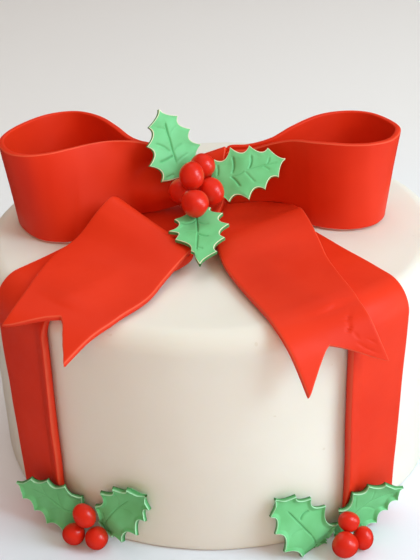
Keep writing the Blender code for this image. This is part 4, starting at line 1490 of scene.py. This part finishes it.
def hug_radius(azimuth):
    """Radius at which a leaf's middle clears the icing, or the ribbon where there is one: the
    cake's radius, the ribbon's thickness where it covers, a gap and half a leaf."""
    angle = np.radians(azimuth)
    x, y = CAKE_RADIUS * np.sin(angle), -CAKE_RADIUS * np.cos(angle)
    cover = ribbon_cover(x, y, HUG_REACH, HUG_SLOPE)
    return CAKE_RADIUS + (RIBBON_THICKNESS + GAP) * cover + GAP + LEAF_THICKNESS / 2.0


def foot_leaf_place(leaf, turn, swing):
    """Place function of a leaf at the foot: u and v are turned by the tilt into a run round
    the cake and a height, and the run over ARC_RADIUS is the angle. The radius adds the flare
    times the share along cubed, the cup times (2 v / length) squared, the lean, which eases
    in along the leaf and fades with height, and what would have come below the floor."""
    slope = np.radians(leaf["tilt"])

    def place(u, v):
        p = u * leaf["length"]
        q = v * leaf["width"]
        share = p / LEAF_LENGTH
        run = p * np.cos(slope) - q * np.sin(slope)
        rise = leaf["height"] + p * np.sin(slope) + q * np.cos(slope)
        rise = rise + leaf["arch"] * 4.0 * share * (1.0 - share)
        lowest = LEAF_FOOT_CLEAR + LEAF_THICKNESS / 2.0
        lifted = soft_larger(rise, lowest, 0.4)
        azimuth = leaf["azimuth"] + swing + turn * np.degrees(run / ARC_RADIUS)
        radius = hug_radius(azimuth) + leaf["flare"] * share**3 + leaf["cup"] * (2.0 * q / LEAF_LENGTH) ** 2
        radius = radius + leaf["lean"] * ease(3.0 * share) * ease(1.0 - lifted / LEAN_HEIGHT)
        radius = radius + np.maximum(lowest - rise, 0.0)
        angle = np.radians(azimuth)
        return np.stack([radius * np.sin(angle), -radius * np.cos(angle), lifted], axis=-1)

    return place


print("radius on icing and on a ribbon:", np.round([hug_radius(0.0), hug_radius(-42.0)], 1))

# %% [markdown]
# ## Leaves of the four sprigs
#
# Each sprig has one leaf over the ribbon and one on the bare icing, which run round the cake
# in opposite ways. The sprigs at the back can't be seen in the photo. They could be left
# plain, but a cake is finished all round, so they are the front ones turned about half round.

# %% Set the sprigs' leaves
FOOT_CURL = 1.3
# Each sprig: its two leaves, the way its ribbon leaf runs, and its turn round the cake
SPRIGS = (
    ("front_left", LEFT_RIBBON_LEAF, LEFT_ICING_LEAF, -1.0, 0.0),
    ("front_right", RIGHT_RIBBON_LEAF, RIGHT_ICING_LEAF, 1.0, 0.0),
    ("back_right", LEFT_RIBBON_LEAF, LEFT_ICING_LEAF, -1.0, 190.3),
    ("back_left", RIGHT_RIBBON_LEAF, RIGHT_ICING_LEAF, 1.0, 172.4),
)
for number, (spot, ribbon_leaf, icing_leaf, turn, swing) in enumerate(SPRIGS):
    pair = (("ribbon_leaf", ribbon_leaf, turn), ("icing_leaf", icing_leaf, -turn))
    for offset, (kind, leaf, way) in enumerate(pair):
        place = foot_leaf_place(leaf, way, swing)
        middle = place(np.array([0.5 * LEAF_LENGTH]), np.array([0.0]))[0]
        outward = np.array([middle[0], middle[1], 0.0]) / CAKE_RADIUS
        made = make_leaf(
            f"holly_{spot}_{kind}", place, outward, 0.0, leaf["veins"], MINT_HIGHLIGHT_HOLLY,
            f"sprig_{spot}_{kind}", 40 + 2 * number + offset, curl=FOOT_CURL,
        )
    print("sprig", spot, "at", np.round(middle, 0))

# %% [markdown]
# ## Berries
#
# A berry is a pinch of paste rolled between the palms. It is never a true ball: each one is a
# ball of its solid's size, made a little uneven by the ripple. Some were rolled into a slight
# egg or pushed aside by their neighbours, and a small table keeps that. Blender's own sphere
# could be the start, but a grid takes all of it in one step.

# %% Roll the berries
# Egg-shaped berries: the long axis right, back and up, how much longer it is, and how far
# the berry is pushed off its place in mm
EGG_BERRIES = {
    "bow_berry_2": ((-0.1, 0.45, 0.88), 1.07, (0.3, 0.0, -0.4)),
    "bow_berry_3": ((-0.1, 0.5, 0.86), 1.08, (-0.4, 0.0, 0.0)),
    "bow_berry_4": ((0.9, 0.3, 0.2), 1.05, (1.3, 0.0, 0.5)),
    "sprig_front_left_berry_1": ((0.62, -0.36, -0.70), 1.14, (0.0, 0.0, 0.0)),
    "sprig_front_right_berry_1": ((0.8, 0.3, -0.5), 1.08, (0.2, -0.2, -0.9)),
    "sprig_front_right_berry_3": ((0.05, 0.45, 0.89), 1.1, (-0.2, 0.0, 0.0)),
    "sprig_back_left_berry_1": ((0.3, 0.2, 0.9), 1.04, (-0.4, 1.1, 0.1)),
    "sprig_back_right_berry_1": ((-0.4, 0.2, 0.9), 1.04, (0.2, 0.6, 0.1)),
    "sprig_back_right_berry_2": ((0.5, 0.2, 0.8), 1.03, (0.3, 0.6, 0.0)),
}


def make_berry(name, node, seed, rows=48, columns=88):
    """A ball as a grid of polar and turning angle: radius times their sines and cosines,
    with the radius made up to 6 parts in 100 smaller by the ripple. An egg-shaped one is
    drawn out along its long axis, and thinner by the root of that."""
    low, high = (np.array(corner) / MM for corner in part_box(node))
    centre = (low + high) / 2.0
    radius = (high[2] - low[2]) / 2.0
    polar = np.linspace(0.0, np.pi, rows + 1)[:, None]
    angle = np.linspace(0.0, 2.0 * np.pi, columns + 1)[None, :] % (2.0 * np.pi)
    flat = np.sin(polar)
    ball = np.stack([flat * np.cos(angle), flat * np.sin(angle), np.cos(polar) + 0.0 * angle], -1)
    ball[0] = (0.0, 0.0, 1.0)
    ball[-1] = (0.0, 0.0, -1.0)
    uneven = 1.0 - 0.03 * (1.0 + ripple(ball, 1.5, seed, waves=6))
    body = ball * (radius * uneven)[..., None]
    axis, longer, push = EGG_BERRIES.get(node, ((0.0, 0.0, 1.0), 1.0, (0.0, 0.0, 0.0)))
    axis = np.array(axis) / np.linalg.norm(axis)
    along = (body @ axis)[..., None] * axis
    body = along * longer + (body - along) / np.sqrt(longer)
    return new_piece(name, [centre + push + body], BERRY, node, "berry_fondant")


berry_nodes = sorted(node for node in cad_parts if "berry" in node)
for number, node in enumerate(berry_nodes):
    made = make_berry(node.replace("berry", "holly_berry"), node, 60 + number)
print("berries:", len(berry_nodes))

# %% [markdown]
# ## A pale floor
#
# The cake stands on a pale floor in a bright room. A flat plane would end in a horizon, so
# the floor curves up far behind the cake and becomes the wall. It is a little cooler near the
# cake than further back, as in the photo. It isn't seen in reflections, so that it doesn't
# veil the reds.


# %% A pale floor that curves up behind
def make_floor():
    """A sheet drawn from the front to the back: flat, a quarter circle and a wall. All of its
    measures are in metres."""
    turn = np.linspace(0.0, np.pi / 2.0, 24)
    bend, back, wall, front, side = 0.5, 1.3, 2.2, -2.0, 3.0
    run = np.concatenate([[front], back + bend * np.sin(turn), [back + bend]])
    rise = np.concatenate([[0.0], bend * (1.0 - np.cos(turn)), [wall]])
    x = np.linspace(-side, side, 3)
    grid = np.empty((len(run), len(x), 3))
    grid[..., 0] = x
    grid[..., 1] = run[:, None]
    grid[..., 2] = rise[:, None]
    mesh = bpy.data.meshes.new("floor")
    mesh.from_pydata(grid.reshape(-1, 3), [], quads_of(len(run), len(x)))
    mesh.shade_smooth()
    finish, tree, shader, noise = new_finish("pale_floor", 0.6, 0.2)
    spot = add_node(tree, "ShaderNodeTexCoord").outputs["Object"]
    spot = add_node(tree, "ShaderNodeSeparateXYZ", {0: spot})
    share_back = ranged(tree, spot.outputs["Y"], -0.1, 0.4, 0.0, 1.0)
    colour = mixed(tree, share_back, (0.82, 0.85, 0.90), (0.86, 0.84, 0.81))
    tree.links.new(colour, shader.inputs["Base Color"])
    grain(tree, shader, [(noise(3.0), 1.0)], 0.1, 0.1)
    mesh.materials.append(finish)
    floor = bpy.data.objects.new("floor", mesh)
    floor.visible_glossy = False
    bpy.context.scene.collection.objects.link(floor)
    return floor


print("staged:", make_floor().name)

# %% [markdown]
# ## Soft daylight
#
# The photo was taken in daylight from the right. One lamp stands for the window, a small low
# one for its glow near the table and one for a second window behind. A warm lamp in front is
# the wall behind the camera, two above are the ceiling, and the world fills the rest. A
# picture of a room could light it too, but lamps can be set one at a time. Only the first two
# show as a shine, because the paste is satin.


# %% Lamps and world
def add_light(name, place, target, size, energy, colour, gloss=True):
    """Add a square area light that looks at a target, with or without a reflection."""
    light = bpy.data.lights.new(name, "AREA")
    light.size = size
    light.energy = energy
    light.color = colour
    lamp = bpy.data.objects.new(name, light)
    lamp.location = place
    lamp.rotation_euler = (Vector(target) - Vector(place)).to_track_quat("-Z", "Y").to_euler()
    lamp.visible_glossy = gloss
    bpy.context.scene.collection.objects.link(lamp)


add_light("window", (0.89, -0.47, 0.75), (0.0, 0.0, 0.05), 0.6, 10.9, (0.60, 0.86, 1.0))
add_light("low_window", (0.80, -0.25, 0.12), (0.0, 0.0, 0.08), 0.35, 2.0, (0.9, 0.97, 1.0))
add_light("back_window", (0.9, 0.6, 0.8), (0.0, 0.0, 0.05), 0.7, 2.3, (0.9, 0.95, 1.0), gloss=False)
add_light("front_wall", (0.0, -1.2, 0.72), (0.0, 0.0, 0.05), 0.9, 5.3, (1.0, 0.65, 0.48), gloss=False)
add_light("ceiling", (0.0, -0.1, 1.5), (0.0, 0.0, 0.0), 1.2, 4.8, (0.90, 0.97, 1.0), gloss=False)
add_light("far_ceiling", (0.15, 0.75, 1.35), (0.0, 0.4, 0.0), 1.3, 5.4, (0.96, 0.98, 1.0), gloss=False)
world = bpy.data.worlds.new("room")
world.use_nodes = True
world.node_tree.nodes["Background"].inputs["Color"].default_value = (1.0, 0.77, 0.63, 1.0)
world.node_tree.nodes["Background"].inputs["Strength"].default_value = 0.28
bpy.context.scene.world = world
world.cycles_visibility.glossy = False
bpy.context.scene.view_settings.view_transform = "Standard"
print("lamps:", [lamp.name for lamp in bpy.data.lights])

# %% [markdown]
# ## The photo's viewpoint
#
# The camera stands in front of the cake, a little above it, and looks down by 28 degrees. Its
# place and lens were worked out from the rims and the foot of the cake in the photo, whose
# frame is 420 by 560 pixels. It could be framed by eye, but then no edge would lie where the
# photo has it. The long side sets the field of view, so the focal length in pixels becomes a
# lens over that side.

# %% Camera
FRAME_HEIGHT_PX = 560
FOCAL_PX = 1094.0
SENSOR = 36.0
# Three angles in radians, and the place in metres
PITCH = 0.496012
PAN = -0.004469
ROLL = -0.039443
CAMERA_PLACE = (0.0, -0.43493, 0.30582)

forward = Vector((np.sin(PAN) * np.cos(PITCH), np.cos(PAN) * np.cos(PITCH), -np.sin(PITCH)))
level = Vector((np.cos(PAN), -np.sin(PAN), 0.0))
above = level.cross(forward)
right = np.cos(ROLL) * level + np.sin(ROLL) * above
up = -np.sin(ROLL) * level + np.cos(ROLL) * above
lens = bpy.data.cameras.new("camera")
lens.sensor_width = SENSOR
lens.lens = FOCAL_PX / FRAME_HEIGHT_PX * SENSOR
lens.clip_start = 0.01
camera = bpy.data.objects.new("camera", lens)
axes = Matrix((right, up, -forward)).transposed().to_4x4()
camera.matrix_world = Matrix.Translation(CAMERA_PLACE) @ axes
bpy.context.scene.collection.objects.link(camera)
bpy.context.scene.camera = camera
print(f"lens {lens.lens:.1f} mm, looking down {np.degrees(PITCH):.1f} degrees")
